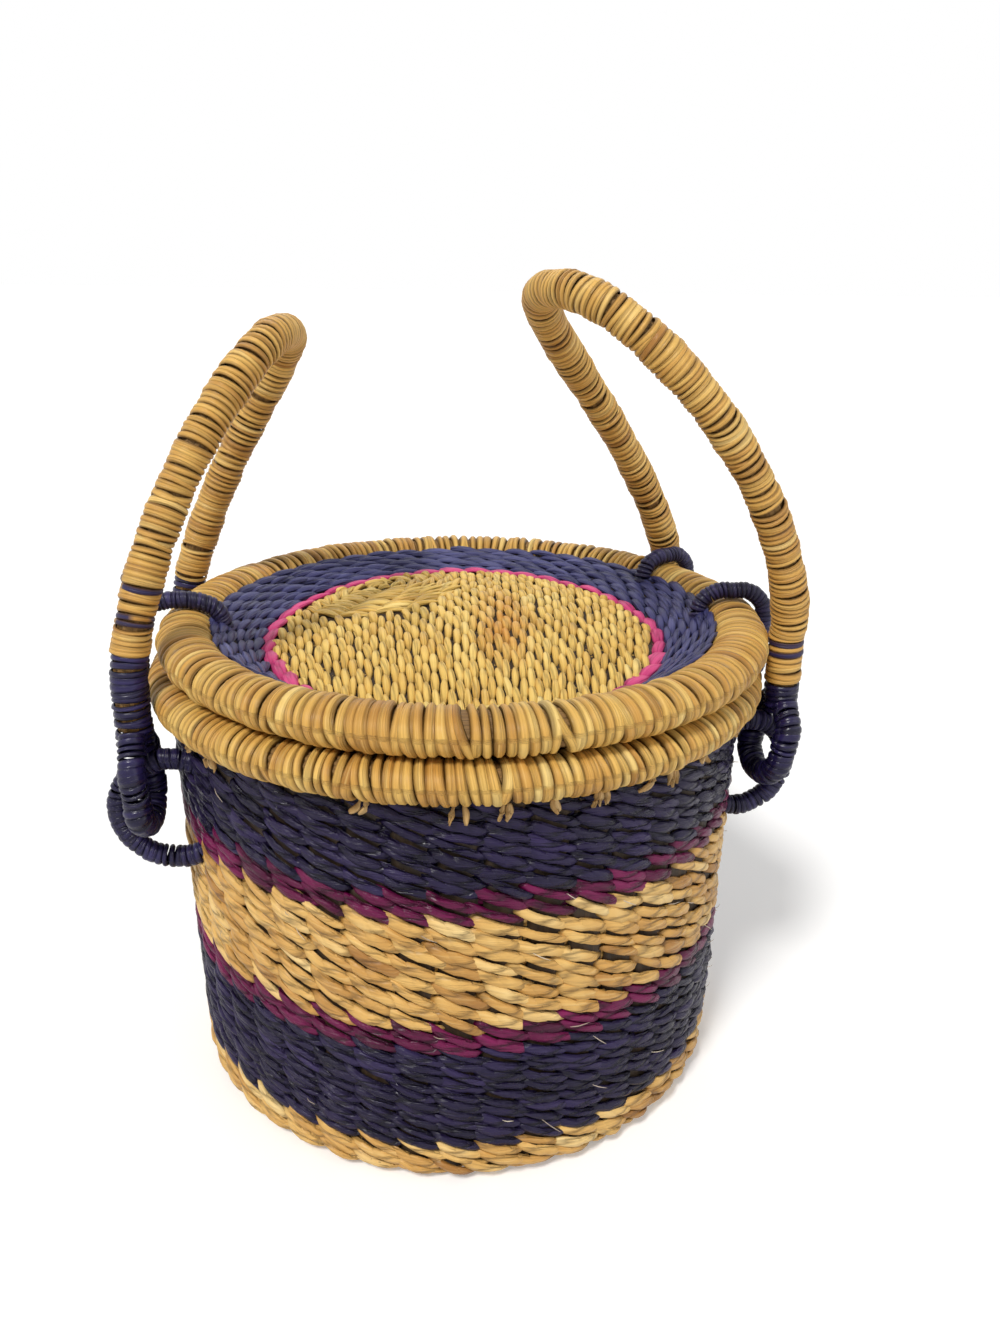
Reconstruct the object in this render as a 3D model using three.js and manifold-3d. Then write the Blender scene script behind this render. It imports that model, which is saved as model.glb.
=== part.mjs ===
// Lidded round basket of twined straw, with two hinged handles and a tied lid.
// Millimetres, +Z up. The origin is the middle of the base, on the surface it stands on.
// The lid's hinge is on the +X side, and the front of the basket faces -Y.
import * as THREE from 'three';
import { mergeVertices } from 'three/addons/utils/BufferGeometryUtils.js';
import Module from 'manifold-3d';

const wasm = await Module();
wasm.setup();

// Clearances
const seat_gap = 0.35;        // between pieces that lie on each other
const bore_gap = 0.4;         // round a core in its wrapping, and round a loop in its hole
const ring_hole_gap = 0.6;    // round a ring, which turns in its holes
const inside_gap = 1.2;       // between the wall's inner face and a ring's inner arc

// Wall of the basket, from the standing surface to the rim
const base_thickness = 8;
const heel_radius = 8.5;
const foot_radius = 127;      // outer edge of the flat base
const wall_foot_radius = 136;
const wall_top_radius = 140;
const wall_thickness = 7.5;
const base_band_top = 21.3;
const lower_navy_top = 73.2;
const lower_magenta_top = 85.2;
const middle_natural_top = 139.4;
const upper_magenta_top = 151.5;
const wall_height = 193.5;

// Wrapped rims: each is a bundle of stake ends under a winding of straw
const rim_radius = 137.6;
const rim_half_width = 11.5;
const rim_half_height = 9.2;
const lid_rim_radius = 133.8;
const lid_rim_half_width = 12.6;
const lid_rim_half_height = 9.7;
const lid_shift = 3.6;        // the lid lies a little towards its hinge
const rim_wrap_thickness = 3.8;
const rim_ribs = 32;
const rib_depth = 0.9;
const wrap_end_gap = 0.8;     // between the first and the last turn of a rim's winding
const wrap_seam_azimuth = 45; // where a rim's winding starts and ends

// Lid plate, woven from the middle outwards
const lid_plate_thickness = 6;
const lid_middle_rise = 5;    // crown of the middle over its edge
const lid_navel_depth = 1.2;
const lid_navel_radius = 14;
const lid_dish_drop = 1.6;    // plate edge under the middle of the lid's rim
const lid_pink_width = 6;
const lid_navy_width = 22.4;  // from the pink ring to the lid's rim
const lid_seam_rise = 5.6;    // plate at the rim over the middle of the rim
const lid_sag = 5.5;          // how far the plate hangs at the pink ring
const lid_front_sag = 6.3;    // so much more at the front of that ring, and less at its back

// Handles: an arch that stands on two eyes, each threaded on a ring through the wall
const grip_radius = 8.7;
const eye_strand_radius = 6.6;
const eye_sleeve_radius = 8;
const eye_half_gap = 13.4;    // from the middle of an eye to its strands
const sleeve_foot_share = 0.8; // of the eye's length, where its sleeve starts
const sleeve_bore_share = 1.4; // of the sleeve's length, how far its bore is cut
const handle_core_radius = 5;
const handle_ribs = 26;
const ring_tube_radius = 5;
const bar_angle_in_ring = 25; // degrees under the outermost point of the ring
// Of each handle, the bars of its eyes lie bar_drop under the top of the wall and bar_inset
// further in than its legs at the rims. The rise, the ends of the strands and the ends of the
// sleeves are over the bars, and the lean starts over the wall.
const left_handle = {
  name: 'left',
  azimuth: 182.4,
  half_span: 63,
  bar_drop: 44,
  bar_inset: 2,
  eye_length: 44,
  sleeve_rise: 79.5,
  rise: 208.5,
  lean_rise: 18.5,
  lean_share: 0.23,
  curl_radius: 294,
  skew_share: 0,
  twist_radius: 975,
  squareness_share: 2.63,
};
const right_handle = {
  name: 'right',
  azimuth: 14,
  half_span: 69,
  bar_drop: 37,
  bar_inset: 6.9,
  eye_length: 38,
  sleeve_rise: 45.5,
  rise: 221.5,
  lean_rise: 31.5,
  lean_share: 0.325,
  curl_radius: 190,
  skew_share: -0.21,
  twist_radius: -610,
  squareness_share: 2.59,
};
const lean_blend = 14;        // height over which a leg starts to lean

// Tying loops of the lid
const loop_radius = 4.3;
const loop_corner_radius = 11;
const loop_hole_margin = 1.6; // wall left over a loop's hole
const front_loop_azimuth = 2;
const rear_loop_azimuth = 32;
const closure_azimuth = 186;
const closure_drop = 16;      // free end of the closure loop under the top of the rim
const closure_tail = 10;      // its other end under the plate of the lid

// Fineness of the meshes
const round_steps = 40;
const section_sides = 8;
const ring_steps = 20;
const loop_sides = 6;
const arc_steps = 3;
const sleeve_steps = 5;
const strand_steps = 8;
const arch_samples = 180;
const halvings = 40;          // in the search for a height on an arch
const weld_distance = 1e-4;

// Colours
const straw_colour = 0xd9a24e;
const navy_colour = 0x2c2560;
const lid_navy_colour = 0x4a4c86;
const magenta_colour = 0x7a1256;
const pink_colour = 0xcf3f86;
const core_colour = 0xb98d4a;

const model = new THREE.Group();

function addPiece(name, geometry, colour, roughness) {
  const material = new THREE.MeshStandardMaterial({ color: colour, roughness, metalness: 0 });
  const mesh = new THREE.Mesh(geometry, material);
  mesh.name = name;
  model.add(mesh);
}

function solidOf(geometry) {
  const bare = geometry.clone();
  bare.deleteAttribute('normal');
  bare.deleteAttribute('uv');
  const merged = mergeVertices(bare, weld_distance);
  const vertProperties = new Float32Array(merged.attributes.position.array);
  const triVerts = new Uint32Array(merged.index.array);
  return new wasm.Manifold(new wasm.Mesh({ numProp: 3, vertProperties, triVerts }));
}

function geometryOf(solid) {
  const mesh = solid.getMesh();
  const geometry = new THREE.BufferGeometry();
  geometry.setAttribute('position', new THREE.BufferAttribute(mesh.vertProperties, 3));
  geometry.setIndex(new THREE.BufferAttribute(mesh.triVerts, 1));
  geometry.computeVertexNormals();
  return geometry;
}

function radians(degrees) {
  return THREE.MathUtils.degToRad(degrees);
}

// Unit vectors of an azimuth: away from the axis, and round it
function outward(azimuth) {
  return new THREE.Vector3(Math.cos(radians(azimuth)), Math.sin(radians(azimuth)), 0);
}

function sideways(azimuth) {
  return new THREE.Vector3(-Math.sin(radians(azimuth)), Math.cos(radians(azimuth)), 0);
}

// Turned solids: an outline of [radius, height] points, made round the Z axis
function turned(outline) {
  const points = outline.map(([radius, height]) => new THREE.Vector2(radius, height));
  points.push(points[0].clone());
  const geometry = new THREE.LatheGeometry(points, round_steps);
  geometry.rotateX(Math.PI / 2);
  return geometry;
}

// A ring of points round a centre, in the plane of two unit vectors
function sectionRing(centre, across, up, half_width, half_height, sides) {
  const ring = [];
  for (let i = 0; i < sides; i += 1) {
    const angle = ((i + 0.5) / sides) * 2 * Math.PI;
    const point = centre.clone();
    point.addScaledVector(across, half_width * Math.cos(angle));
    point.addScaledVector(up, half_height * Math.sin(angle));
    ring.push(point);
  }
  return ring;
}

function strip(ringA, ringB, faces) {
  const sides = ringA.length;
  for (let i = 0; i < sides; i += 1) {
    const j = (i + 1) % sides;
    faces.push(ringA[i], ringA[j], ringB[j]);
    faces.push(ringA[i], ringB[j], ringB[i]);
  }
}

function cap(ring, faces, turnedRound) {
  for (let i = 1; i < ring.length - 1; i += 1) {
    if (turnedRound) {
      faces.push(ring[0], ring[i + 1], ring[i]);
    } else {
      faces.push(ring[0], ring[i], ring[i + 1]);
    }
  }
}

// Closed geometry of triangles that all point in or all point out: they are made to point out
function geometryOfFaces(faces) {
  let volume = 0;
  for (let i = 0; i < faces.length; i += 3) {
    volume += faces[i].dot(faces[i + 1].clone().cross(faces[i + 2]));
  }
  if (volume < 0) {
    faces.reverse();
  }
  const geometry = new THREE.BufferGeometry().setFromPoints(faces);
  const merged = mergeVertices(geometry, weld_distance);
  merged.computeVertexNormals();
  return merged;
}

// A solid tube through rings of points, with flat ends or closed on itself
function tube(rings, closed) {
  const faces = [];
  for (let i = 0; i < rings.length - 1; i += 1) {
    strip(rings[i], rings[i + 1], faces);
  }
  if (closed) {
    strip(rings[rings.length - 1], rings[0], faces);
  } else {
    cap(rings[0], faces, true);
    cap(rings[rings.length - 1], faces, false);
  }
  return geometryOfFaces(faces);
}

// A sleeve: a tube with a bore that is open at both ends
function sleeve(outer, inner) {
  const faces = [];
  for (let i = 0; i < outer.length - 1; i += 1) {
    strip(outer[i], outer[i + 1], faces);
  }
  for (let i = 0; i < inner.length - 1; i += 1) {
    strip(inner[i + 1], inner[i], faces);
  }
  strip(inner[0], outer[0], faces);
  strip(outer[outer.length - 1], inner[inner.length - 1], faces);
  return geometryOfFaces(faces);
}

// Wall: its outer face, and the bands of colour that it is woven in
function wallRadius(height) {
  const share = (height - heel_radius) / (wall_height - heel_radius);
  return wall_foot_radius + share * (wall_top_radius - wall_foot_radius);
}

function heelArc(radius) {
  const points = [];
  const middle = wall_foot_radius - heel_radius;
  for (let i = 0; i <= arc_steps; i += 1) {
    const angle = (i / arc_steps) * (Math.PI / 2);
    points.push([middle + radius * Math.sin(angle), heel_radius - radius * Math.cos(angle)]);
  }
  return points;
}

function baseBandOutline() {
  const top = base_band_top - seat_gap;
  const outer = heelArc(heel_radius);
  const inner = heelArc(heel_radius - wall_thickness);
  outer.push([wallRadius(top), top]);
  inner.push([wallRadius(top) - wall_thickness, top]);
  return outer.concat(inner.reverse());
}

function bandOutline(bottom, top) {
  return [
    [wallRadius(bottom) - wall_thickness, bottom],
    [wallRadius(bottom), bottom],
    [wallRadius(top), top],
    [wallRadius(top) - wall_thickness, top],
  ];
}

// Rims: stations round the axis, from the first turn of the winding to the last.
// The flats of their section, not its corners, lie at the half width and the half height.
const corner_share = 1 / Math.cos(Math.PI / section_sides);
const flat_share = Math.tan(Math.PI / section_sides);

function rimRings(rim, half_width, half_height, steps, from, to) {
  const rings = [];
  for (let i = 0; i <= steps; i += 1) {
    const azimuth = from + (i / steps) * (to - from);
    const out = outward(azimuth);
    const centre = out.clone().multiplyScalar(rim.radius);
    centre.x += rim.shift;
    centre.z = rim.height;
    const depth = rim.ribbed && i % 2 === 0 ? rib_depth : 0;
    const up = new THREE.Vector3(0, 0, 1);
    const high = (half_height - depth) * corner_share;
    const wide = (half_width - depth) * corner_share;
    rings.push(sectionRing(centre, up, out, high, wide, section_sides));
  }
  return rings;
}

function rimCore(rim) {
  const shrink = rim_wrap_thickness + bore_gap;
  const core = { ...rim, ribbed: false };
  const rings = rimRings(core, rim.half_width - shrink, rim.half_height - shrink, rim_ribs, 0, 360);
  rings.pop();
  return tube(rings, true);
}

function rimWrap(rim) {
  const half_turn_gap = (wrap_end_gap / rim.radius) * (90 / Math.PI);
  const from = rim.seam + half_turn_gap;
  const to = rim.seam + 360 - half_turn_gap;
  const bore = { ...rim, ribbed: false };
  const thick = rim_wrap_thickness;
  const outer = rimRings(rim, rim.half_width, rim.half_height, 2 * rim_ribs, from, to);
  const inner = rimRings(bore, rim.half_width - thick, rim.half_height - thick, rim_ribs, from, to);
  return sleeve(outer, inner);
}

const basket_rim = {
  radius: rim_radius,
  half_width: rim_half_width,
  half_height: rim_half_height,
  height: wall_height + seat_gap + rim_half_height,
  shift: 0,
  seam: wrap_seam_azimuth,
  ribbed: true,
};
const rim_top = basket_rim.height + rim_half_height;
const lid_rim = {
  radius: lid_rim_radius,
  half_width: lid_rim_half_width,
  half_height: lid_rim_half_height,
  height: rim_top + seat_gap + lid_rim_half_height,
  shift: lid_shift,
  seam: wrap_seam_azimuth,
  ribbed: true,
};
const lid_rim_top = lid_rim.height + lid_rim_half_height;
const rim_outer = rim_radius + rim_half_width;
const lid_outer = lid_rim_radius + lid_rim_half_width;

// Handle arch: the bars of both eyes are on one line, and the legs bear on the rims
function barHeight(handle) {
  return wall_height - handle.bar_drop;
}

function legDistance(handle, inset) {
  const right = handle.azimuth < 90;
  const rims = right ? Math.max(rim_outer, lid_outer + lid_shift) : rim_outer;
  const reach = rims + grip_radius + seat_gap - inset;
  return Math.sqrt(reach ** 2 - handle.half_span ** 2);
}

// The ring is a circle through the wall. Its inner arc is just inside the wall.
function ringPlan(handle) {
  const inner_wall = wallRadius(barHeight(handle)) - wall_thickness;
  const edge = handle.half_span + ring_tube_radius;
  const inner = Math.sqrt(inner_wall ** 2 - edge ** 2) - ring_tube_radius - inside_gap;
  const bar = legDistance(handle, handle.bar_inset);
  const slack = eye_strand_radius + seat_gap + ring_tube_radius;
  const cosine = Math.cos(radians(bar_angle_in_ring));
  // middle + (radius - slack) * cosine = bar, and middle - radius = inner
  const radius = (bar - inner + slack * cosine) / (1 + cosine);
  const middle = inner + radius;
  const drop = (radius - slack) * Math.sin(radians(bar_angle_in_ring));
  return { radius, middle, bar, height: barHeight(handle) + drop };
}

function archPoint(handle, turn) {
  const power = 2 / handle.squareness_share;
  const along = -Math.sign(Math.cos(turn)) * Math.abs(Math.cos(turn)) ** power * handle.half_span;
  const rise = Math.abs(Math.sin(turn)) ** power * handle.rise;
  const height = barHeight(handle) + rise;
  const above = Math.max(height - wall_height - handle.lean_rise, 0);
  const soft = above ** 2 / (above + lean_blend);
  const lean = handle.lean_share * soft + above ** 2 / (2 * handle.curl_radius);
  const twist = (along * above) / handle.twist_radius;
  const foot = ringPlan(handle).bar;
  const seat = legDistance(handle, 0);
  const climb = Math.min(rise / handle.bar_drop, 1);
  const distance = foot + (seat - foot) * climb * (2 - climb) - lean + twist;
  const point = outward(handle.azimuth).multiplyScalar(distance);
  point.addScaledVector(sideways(handle.azimuth), along + handle.skew_share * above);
  point.z = height;
  return point;
}

function archCurve(handle) {
  const points = [];
  for (let i = 0; i <= arch_samples; i += 1) {
    points.push(archPoint(handle, (i / arch_samples) * Math.PI));
  }
  return new THREE.CatmullRomCurve3(points);
}

// Share of the arch's length at which a leg passes a height; foot 0 is the first leg, 1 the last
function shareAtHeight(curve, height, foot) {
  let low = 0;
  let high = 0.5;
  for (let i = 0; i < halvings; i += 1) {
    const middle = (low + high) / 2;
    const point = curve.getPointAt(foot === 0 ? middle : 1 - middle);
    if (point.z < height) {
      low = middle;
    } else {
      high = middle;
    }
  }
  return foot === 0 ? low : 1 - low;
}

function archRings(handle, curve, radius, from, to, steps, ribbed) {
  const rings = [];
  for (let i = 0; i <= steps; i += 1) {
    const share = from + (i / steps) * (to - from);
    const along = curve.getTangentAt(share);
    const out = outward(handle.azimuth);
    out.addScaledVector(along, -out.dot(along)).normalize();
    const across = new THREE.Vector3().crossVectors(along, out);
    const depth = ribbed && i % 2 === 0 ? rib_depth : 0;
    const centre = curve.getPointAt(share);
    rings.push(sectionRing(centre, out, across, radius - depth, radius - depth, section_sides));
  }
  return rings;
}

// One strand of an eye: from the bar, up one side of the ring and in to the leg
function eyeStrand(origin, along, across, length, side) {
  const height_shares = [0, 0.035, 0.2, 0.42, 0.7, 0.88, 1];
  const width_shares = [0, 0.52, 1, 1.03, 1, 0.56, 0.3];
  const points = height_shares.map((share, i) => {
    const point = origin.clone();
    point.addScaledVector(along, share * length);
    return point.addScaledVector(across, side * width_shares[i] * eye_half_gap);
  });
  const curve = new THREE.CatmullRomCurve3(points);
  const depthwise = new THREE.Vector3().crossVectors(along, across).normalize();
  const rings = [];
  for (let i = 0; i <= strand_steps; i += 1) {
    const share = i / strand_steps;
    const heading = i === 0 ? across.clone().multiplyScalar(side) : curve.getTangentAt(share);
    const other = new THREE.Vector3().crossVectors(heading, depthwise).normalize();
    const centre = curve.getPointAt(share);
    if (i === 0) {
      centre.addScaledVector(heading, -seat_gap);
    }
    const radius = eye_strand_radius;
    rings.push(sectionRing(centre, depthwise, other, radius, radius, section_sides));
  }
  return solidOf(tube(rings, false));
}

function eye(handle, curve, foot) {
  const origin = curve.getPointAt(foot);
  const length = handle.eye_length;
  const joined = shareAtHeight(curve, barHeight(handle) + length, foot);
  const top = shareAtHeight(curve, barHeight(handle) + handle.sleeve_rise, foot);
  const start = shareAtHeight(curve, barHeight(handle) + sleeve_foot_share * length, foot);
  const along = curve.getPointAt(joined).sub(origin).normalize();
  const across = sideways(handle.azimuth);
  const bore = handle_core_radius + bore_gap;
  const past = joined + sleeve_bore_share * (top - joined);
  const low = Math.min(start, top);
  const high = Math.max(start, top);
  const outer = tube(archRings(handle, curve, eye_sleeve_radius, low, high, sleeve_steps, false), false);
  const bored = [Math.min(joined, past), Math.max(joined, past)];
  const inner = tube(archRings(handle, curve, bore, bored[0], bored[1], sleeve_steps, false), false);
  const strands = [1, -1].map((side) => eyeStrand(origin, along, across, length, side));
  const eye_outside = strands[0].add(strands[1]).add(solidOf(outer));
  return geometryOf(eye_outside.subtract(solidOf(inner)));
}

// A ring through the wall, and the hole that it needs there
function ringSolid(handle, side, grow) {
  const plan = ringPlan(handle);
  const rings = [];
  const out = outward(handle.azimuth);
  const across = sideways(handle.azimuth);
  for (let i = 0; i < ring_steps; i += 1) {
    const angle = (i / ring_steps) * 2 * Math.PI;
    const away = out.clone().multiplyScalar(Math.cos(angle));
    away.z = Math.sin(angle);
    const centre = out.clone().multiplyScalar(plan.middle);
    centre.addScaledVector(across, side * handle.half_span);
    centre.z = plan.height;
    centre.addScaledVector(away, plan.radius);
    const radius = ring_tube_radius + grow;
    rings.push(sectionRing(centre, across, away, radius, radius, loop_sides));
  }
  return tube(rings, true);
}

// Loops that tie the lid: through the lid's plate, over both rims and back through the wall
const loop_out = Math.max(rim_outer, lid_outer + lid_shift) + seat_gap + loop_radius;
const loop_in = lid_rim_radius + lid_shift - lid_rim_half_width - bore_gap - loop_radius;
const loop_top = lid_rim_top + seat_gap + loop_radius;
const loop_low = wall_height - loop_hole_margin - bore_gap - loop_radius;

function loopSolid(azimuth, radius) {
  const half_width = (loop_out - loop_in) / 2;
  const half_height = (loop_top - loop_low) / 2;
  const out = outward(azimuth);
  const across = sideways(azimuth);
  const rings = [];
  const corners_x = [1, -1, -1, 1];
  const corners_z = [1, 1, -1, -1];
  for (let corner = 0; corner < 4; corner += 1) {
    for (let i = 0; i <= arc_steps; i += 1) {
      const angle = (corner + i / arc_steps) * (Math.PI / 2);
      const away = out.clone().multiplyScalar(Math.cos(angle));
      away.z = Math.sin(angle);
      const centre = out.clone().multiplyScalar((loop_in + loop_out) / 2);
      centre.z = (loop_low + loop_top) / 2;
      centre.addScaledVector(out, corners_x[corner] * (half_width - loop_corner_radius));
      centre.z += corners_z[corner] * (half_height - loop_corner_radius);
      centre.addScaledVector(away, loop_corner_radius);
      rings.push(sectionRing(centre, across, away, radius, radius, loop_sides));
    }
  }
  return tube(rings, true);
}

// The closure loop starts under the plate, goes over the lid's rim and hangs outside both rims
function closureSolid(radius) {
  const out = outward(closure_azimuth);
  const across = sideways(closure_azimuth);
  const shift = lid_shift * Math.cos(radians(closure_azimuth));
  const inner = lid_rim_radius + shift - lid_rim_half_width - bore_gap - loop_radius;
  const outer = rim_outer + bore_gap + loop_radius;
  const half_width = (outer - inner) / 2;
  const rings = [];
  const add = (distance, height, angle) => {
    const centre = out.clone().multiplyScalar(distance);
    centre.z = height;
    const away = out.clone().multiplyScalar(Math.cos(angle));
    away.z = Math.sin(angle);
    rings.push(sectionRing(centre, across, away, radius, radius, loop_sides));
  };
  const plate_under = lid_rim.height - lid_plate_thickness;
  add(outer, rim_top - closure_drop, 0);
  for (let corner = 0; corner < 2; corner += 1) {
    for (let i = 0; i <= arc_steps; i += 1) {
      const angle = (corner + i / arc_steps) * (Math.PI / 2);
      const reach = (half_width - loop_corner_radius) * (corner === 0 ? 1 : -1);
      const distance = (inner + outer) / 2 + reach + loop_corner_radius * Math.cos(angle);
      add(distance, loop_top + loop_corner_radius * (Math.sin(angle) - 1), angle);
    }
  }
  add(inner, plate_under - closure_tail, Math.PI);
  return tube(rings, false);
}

// Lid plate: its upper face by distance from the middle, before it sags
const lid_pink_radius = lid_rim_radius - lid_rim_half_width - lid_navy_width;
const lid_natural_radius = lid_pink_radius - lid_pink_width;

function plateTop(radius) {
  const edge = lid_rim.height - lid_dish_drop;
  const crown = lid_middle_rise * Math.cos(Math.min(radius / lid_natural_radius, 1) * (Math.PI / 2));
  const navel = lid_navel_depth * Math.max(0, 1 - (radius / lid_navel_radius) ** 2);
  const climb = Math.max(0, (radius - lid_pink_radius) / lid_navy_width);
  return edge + crown - navel + climb * (lid_seam_rise + lid_dish_drop);
}

function plateOutline(radii) {
  const upper = radii.map((radius) => [radius, plateTop(radius)]);
  const lower = radii.map((radius) => [radius, plateTop(radius) - lid_plate_thickness]);
  return lower.concat(upper.reverse());
}

// The outer edge of the plate follows the rim that it is sewn to
function rimInnerFace(height) {
  const share = Math.abs(height - lid_rim.height) / lid_rim_half_height;
  const slope = Math.max(share - flat_share, 0);
  return lid_rim_radius - lid_rim_half_width * (1 - slope) - seat_gap;
}

function navyRingOutline() {
  const inner = lid_pink_radius + seat_gap;
  const edge = lid_rim_radius - lid_rim_half_width;
  const top = plateTop(edge);
  const bottom = top - lid_plate_thickness;
  const flat_top = lid_rim.height + flat_share * lid_rim_half_height;
  return [
    [inner, plateTop(inner) - lid_plate_thickness],
    [rimInnerFace(bottom), bottom],
    [rimInnerFace(flat_top), flat_top],
    [rimInnerFace(top), top],
    [inner, plateTop(inner)],
  ];
}

// The woven plate hangs from the rim: least in the middle and at the rim, most at the front
function plateSag(x, y) {
  const radius = Math.hypot(x, y);
  if (radius < lid_pink_radius) {
    const share = radius / lid_pink_radius;
    return lid_sag * share ** 2 - (lid_front_sag * y) / lid_pink_radius;
  }
  const share = Math.max(1 - (radius - lid_pink_radius) / lid_navy_width, 0);
  return share * (lid_sag - (lid_front_sag * y) / radius);
}

function platePiece(outline) {
  const geometry = turned(outline);
  const places = geometry.attributes.position;
  for (let i = 0; i < places.count; i += 1) {
    places.setZ(i, places.getZ(i) - plateSag(places.getX(i), places.getY(i)));
  }
  geometry.computeVertexNormals();
  return geometry.translate(lid_shift, 0, 0);
}

const handles = [left_handle, right_handle];
const wall_cuts = handles.flatMap((handle) => [
  solidOf(ringSolid(handle, 1, ring_hole_gap)),
  solidOf(ringSolid(handle, -1, ring_hole_gap)),
]);
const loop_azimuths = [front_loop_azimuth, rear_loop_azimuth];
const loop_cuts = loop_azimuths.map((azimuth) => solidOf(loopSolid(azimuth, loop_radius + bore_gap)));
const closure_cut = solidOf(closureSolid(loop_radius + bore_gap));

function cutBy(geometry, cuts) {
  return geometryOf(cuts.reduce((solid, cut) => solid.subtract(cut), solidOf(geometry)));
}

// Basket
const base_outline = [[0, 0], [foot_radius, 0], [foot_radius, base_thickness], [0, base_thickness]];
addPiece('base_disc', turned(base_outline), straw_colour, 0.8);
addPiece('base_band', turned(baseBandOutline()), straw_colour, 0.8);
const bands = [
  ['lower_navy_band', base_band_top, lower_navy_top, navy_colour],
  ['lower_magenta_line', lower_navy_top, lower_magenta_top, magenta_colour],
  ['middle_natural_band', lower_magenta_top, middle_natural_top, straw_colour],
  ['upper_magenta_line', middle_natural_top, upper_magenta_top, magenta_colour],
  ['upper_navy_band', upper_magenta_top, wall_height + seat_gap, navy_colour],
];
for (const [name, bottom, top, colour] of bands) {
  const plain = turned(bandOutline(bottom, top - seat_gap));
  addPiece(name, cutBy(plain, wall_cuts.concat(loop_cuts)), colour, 0.7);
}
addPiece('basket_rim_core', rimCore(basket_rim), core_colour, 0.9);
addPiece('basket_rim_wrap', rimWrap(basket_rim), straw_colour, 0.7);

// Lid
const crown_shares = [0.4, 0.7, 1];
const crown_radii = crown_shares.map((share) => share * lid_natural_radius);
const natural_radii = [0, lid_navel_radius, ...crown_radii];
const pink_radii = [lid_natural_radius + seat_gap, lid_pink_radius];
addPiece('lid_centre_disc', platePiece(plateOutline(natural_radii)), straw_colour, 0.8);
addPiece('lid_pink_ring', platePiece(plateOutline(pink_radii)), pink_colour, 0.7);
const navy_ring = platePiece(navyRingOutline());
addPiece('lid_navy_ring', cutBy(navy_ring, loop_cuts.concat([closure_cut])), lid_navy_colour, 0.7);
addPiece('lid_rim_core', rimCore(lid_rim), core_colour, 0.9);
addPiece('lid_rim_wrap', rimWrap(lid_rim), straw_colour, 0.7);
addPiece('closure_loop', closureSolid(loop_radius), navy_colour, 0.5);
addPiece('hinge_loop_front', loopSolid(front_loop_azimuth, loop_radius), navy_colour, 0.5);
addPiece('hinge_loop_rear', loopSolid(rear_loop_azimuth, loop_radius), navy_colour, 0.5);

// Handles, with the rings that they hang on. The first leg of the left arch is its rear one.
for (const handle of handles) {
  const curve = archCurve(handle);
  const wrap_height = barHeight(handle) + handle.sleeve_rise + seat_gap;
  const core_height = barHeight(handle) + handle.eye_length + seat_gap;
  const wrap_from = shareAtHeight(curve, wrap_height, 0);
  const wrap_to = shareAtHeight(curve, wrap_height, 1);
  const core_from = shareAtHeight(curve, core_height, 0);
  const core_to = shareAtHeight(curve, core_height, 1);
  const bore = handle_core_radius + bore_gap;
  const outer = archRings(handle, curve, grip_radius, wrap_from, wrap_to, 2 * handle_ribs, true);
  const inner = archRings(handle, curve, bore, wrap_from, wrap_to, handle_ribs, false);
  const core = [
    ...archRings(handle, curve, handle_core_radius, core_from, wrap_from, sleeve_steps, false).slice(0, -1),
    ...archRings(handle, curve, handle_core_radius, wrap_from, wrap_to, handle_ribs, false),
    ...archRings(handle, curve, handle_core_radius, wrap_to, core_to, sleeve_steps, false).slice(1),
  ];
  addPiece(`${handle.name}_handle_core`, tube(core, false), core_colour, 0.9);
  addPiece(`${handle.name}_handle_wrap`, sleeve(outer, inner), straw_colour, 0.7);
  const near = handle.azimuth < 90 ? 0 : 1;
  const feet = [['front', near], ['rear', 1 - near]];
  for (const [place, foot] of feet) {
    addPiece(`${handle.name}_${place}_eye`, eye(handle, curve, foot), navy_colour, 0.5);
    const side = foot === 0 ? -1 : 1;
    addPiece(`${handle.name}_${place}_ring`, ringSolid(handle, side, 0), navy_colour, 0.5);
  }
}

export default model;
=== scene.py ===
import math

import bmesh
import bpy
import numpy as np
from mathutils import Matrix, Vector


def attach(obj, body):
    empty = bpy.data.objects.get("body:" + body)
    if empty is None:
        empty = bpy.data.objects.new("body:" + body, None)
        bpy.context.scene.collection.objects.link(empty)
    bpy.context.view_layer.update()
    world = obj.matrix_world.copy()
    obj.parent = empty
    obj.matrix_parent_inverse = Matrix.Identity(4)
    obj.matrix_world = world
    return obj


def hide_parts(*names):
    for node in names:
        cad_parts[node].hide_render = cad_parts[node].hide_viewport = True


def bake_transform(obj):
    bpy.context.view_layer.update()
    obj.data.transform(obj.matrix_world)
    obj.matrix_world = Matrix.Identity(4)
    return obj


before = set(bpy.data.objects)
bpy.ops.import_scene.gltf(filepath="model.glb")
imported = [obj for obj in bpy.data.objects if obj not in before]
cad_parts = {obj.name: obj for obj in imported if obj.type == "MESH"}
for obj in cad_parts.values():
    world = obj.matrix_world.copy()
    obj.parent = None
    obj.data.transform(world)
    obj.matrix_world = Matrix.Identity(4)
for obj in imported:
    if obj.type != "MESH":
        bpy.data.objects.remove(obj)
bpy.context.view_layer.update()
bpy.ops.object.select_all(action="DESELECT")

# Base: a flat disc of undyed straw. In every row two strands of twisted grass pass on either
# side of each stake and cross between two stakes, so one stretch of such a strand is modelled
# and copied. The basket stands on the disc, which turns up round the heel into the wall.
mm = 0.001
uv_scale = 10            # of the strands' own UV maps, to the metre
full_turn = 2 * math.pi
dice = np.random.default_rng(11)
stake_count = 46
foot_radius = 127.0
base_rows = 20
base_strand_depth = 2.7
base_sink = 1.1          # of a strand's ends between two stakes
base_under_height = 2.9  # of the strands' middle, outside and inside
base_over_height = 6.4


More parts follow.
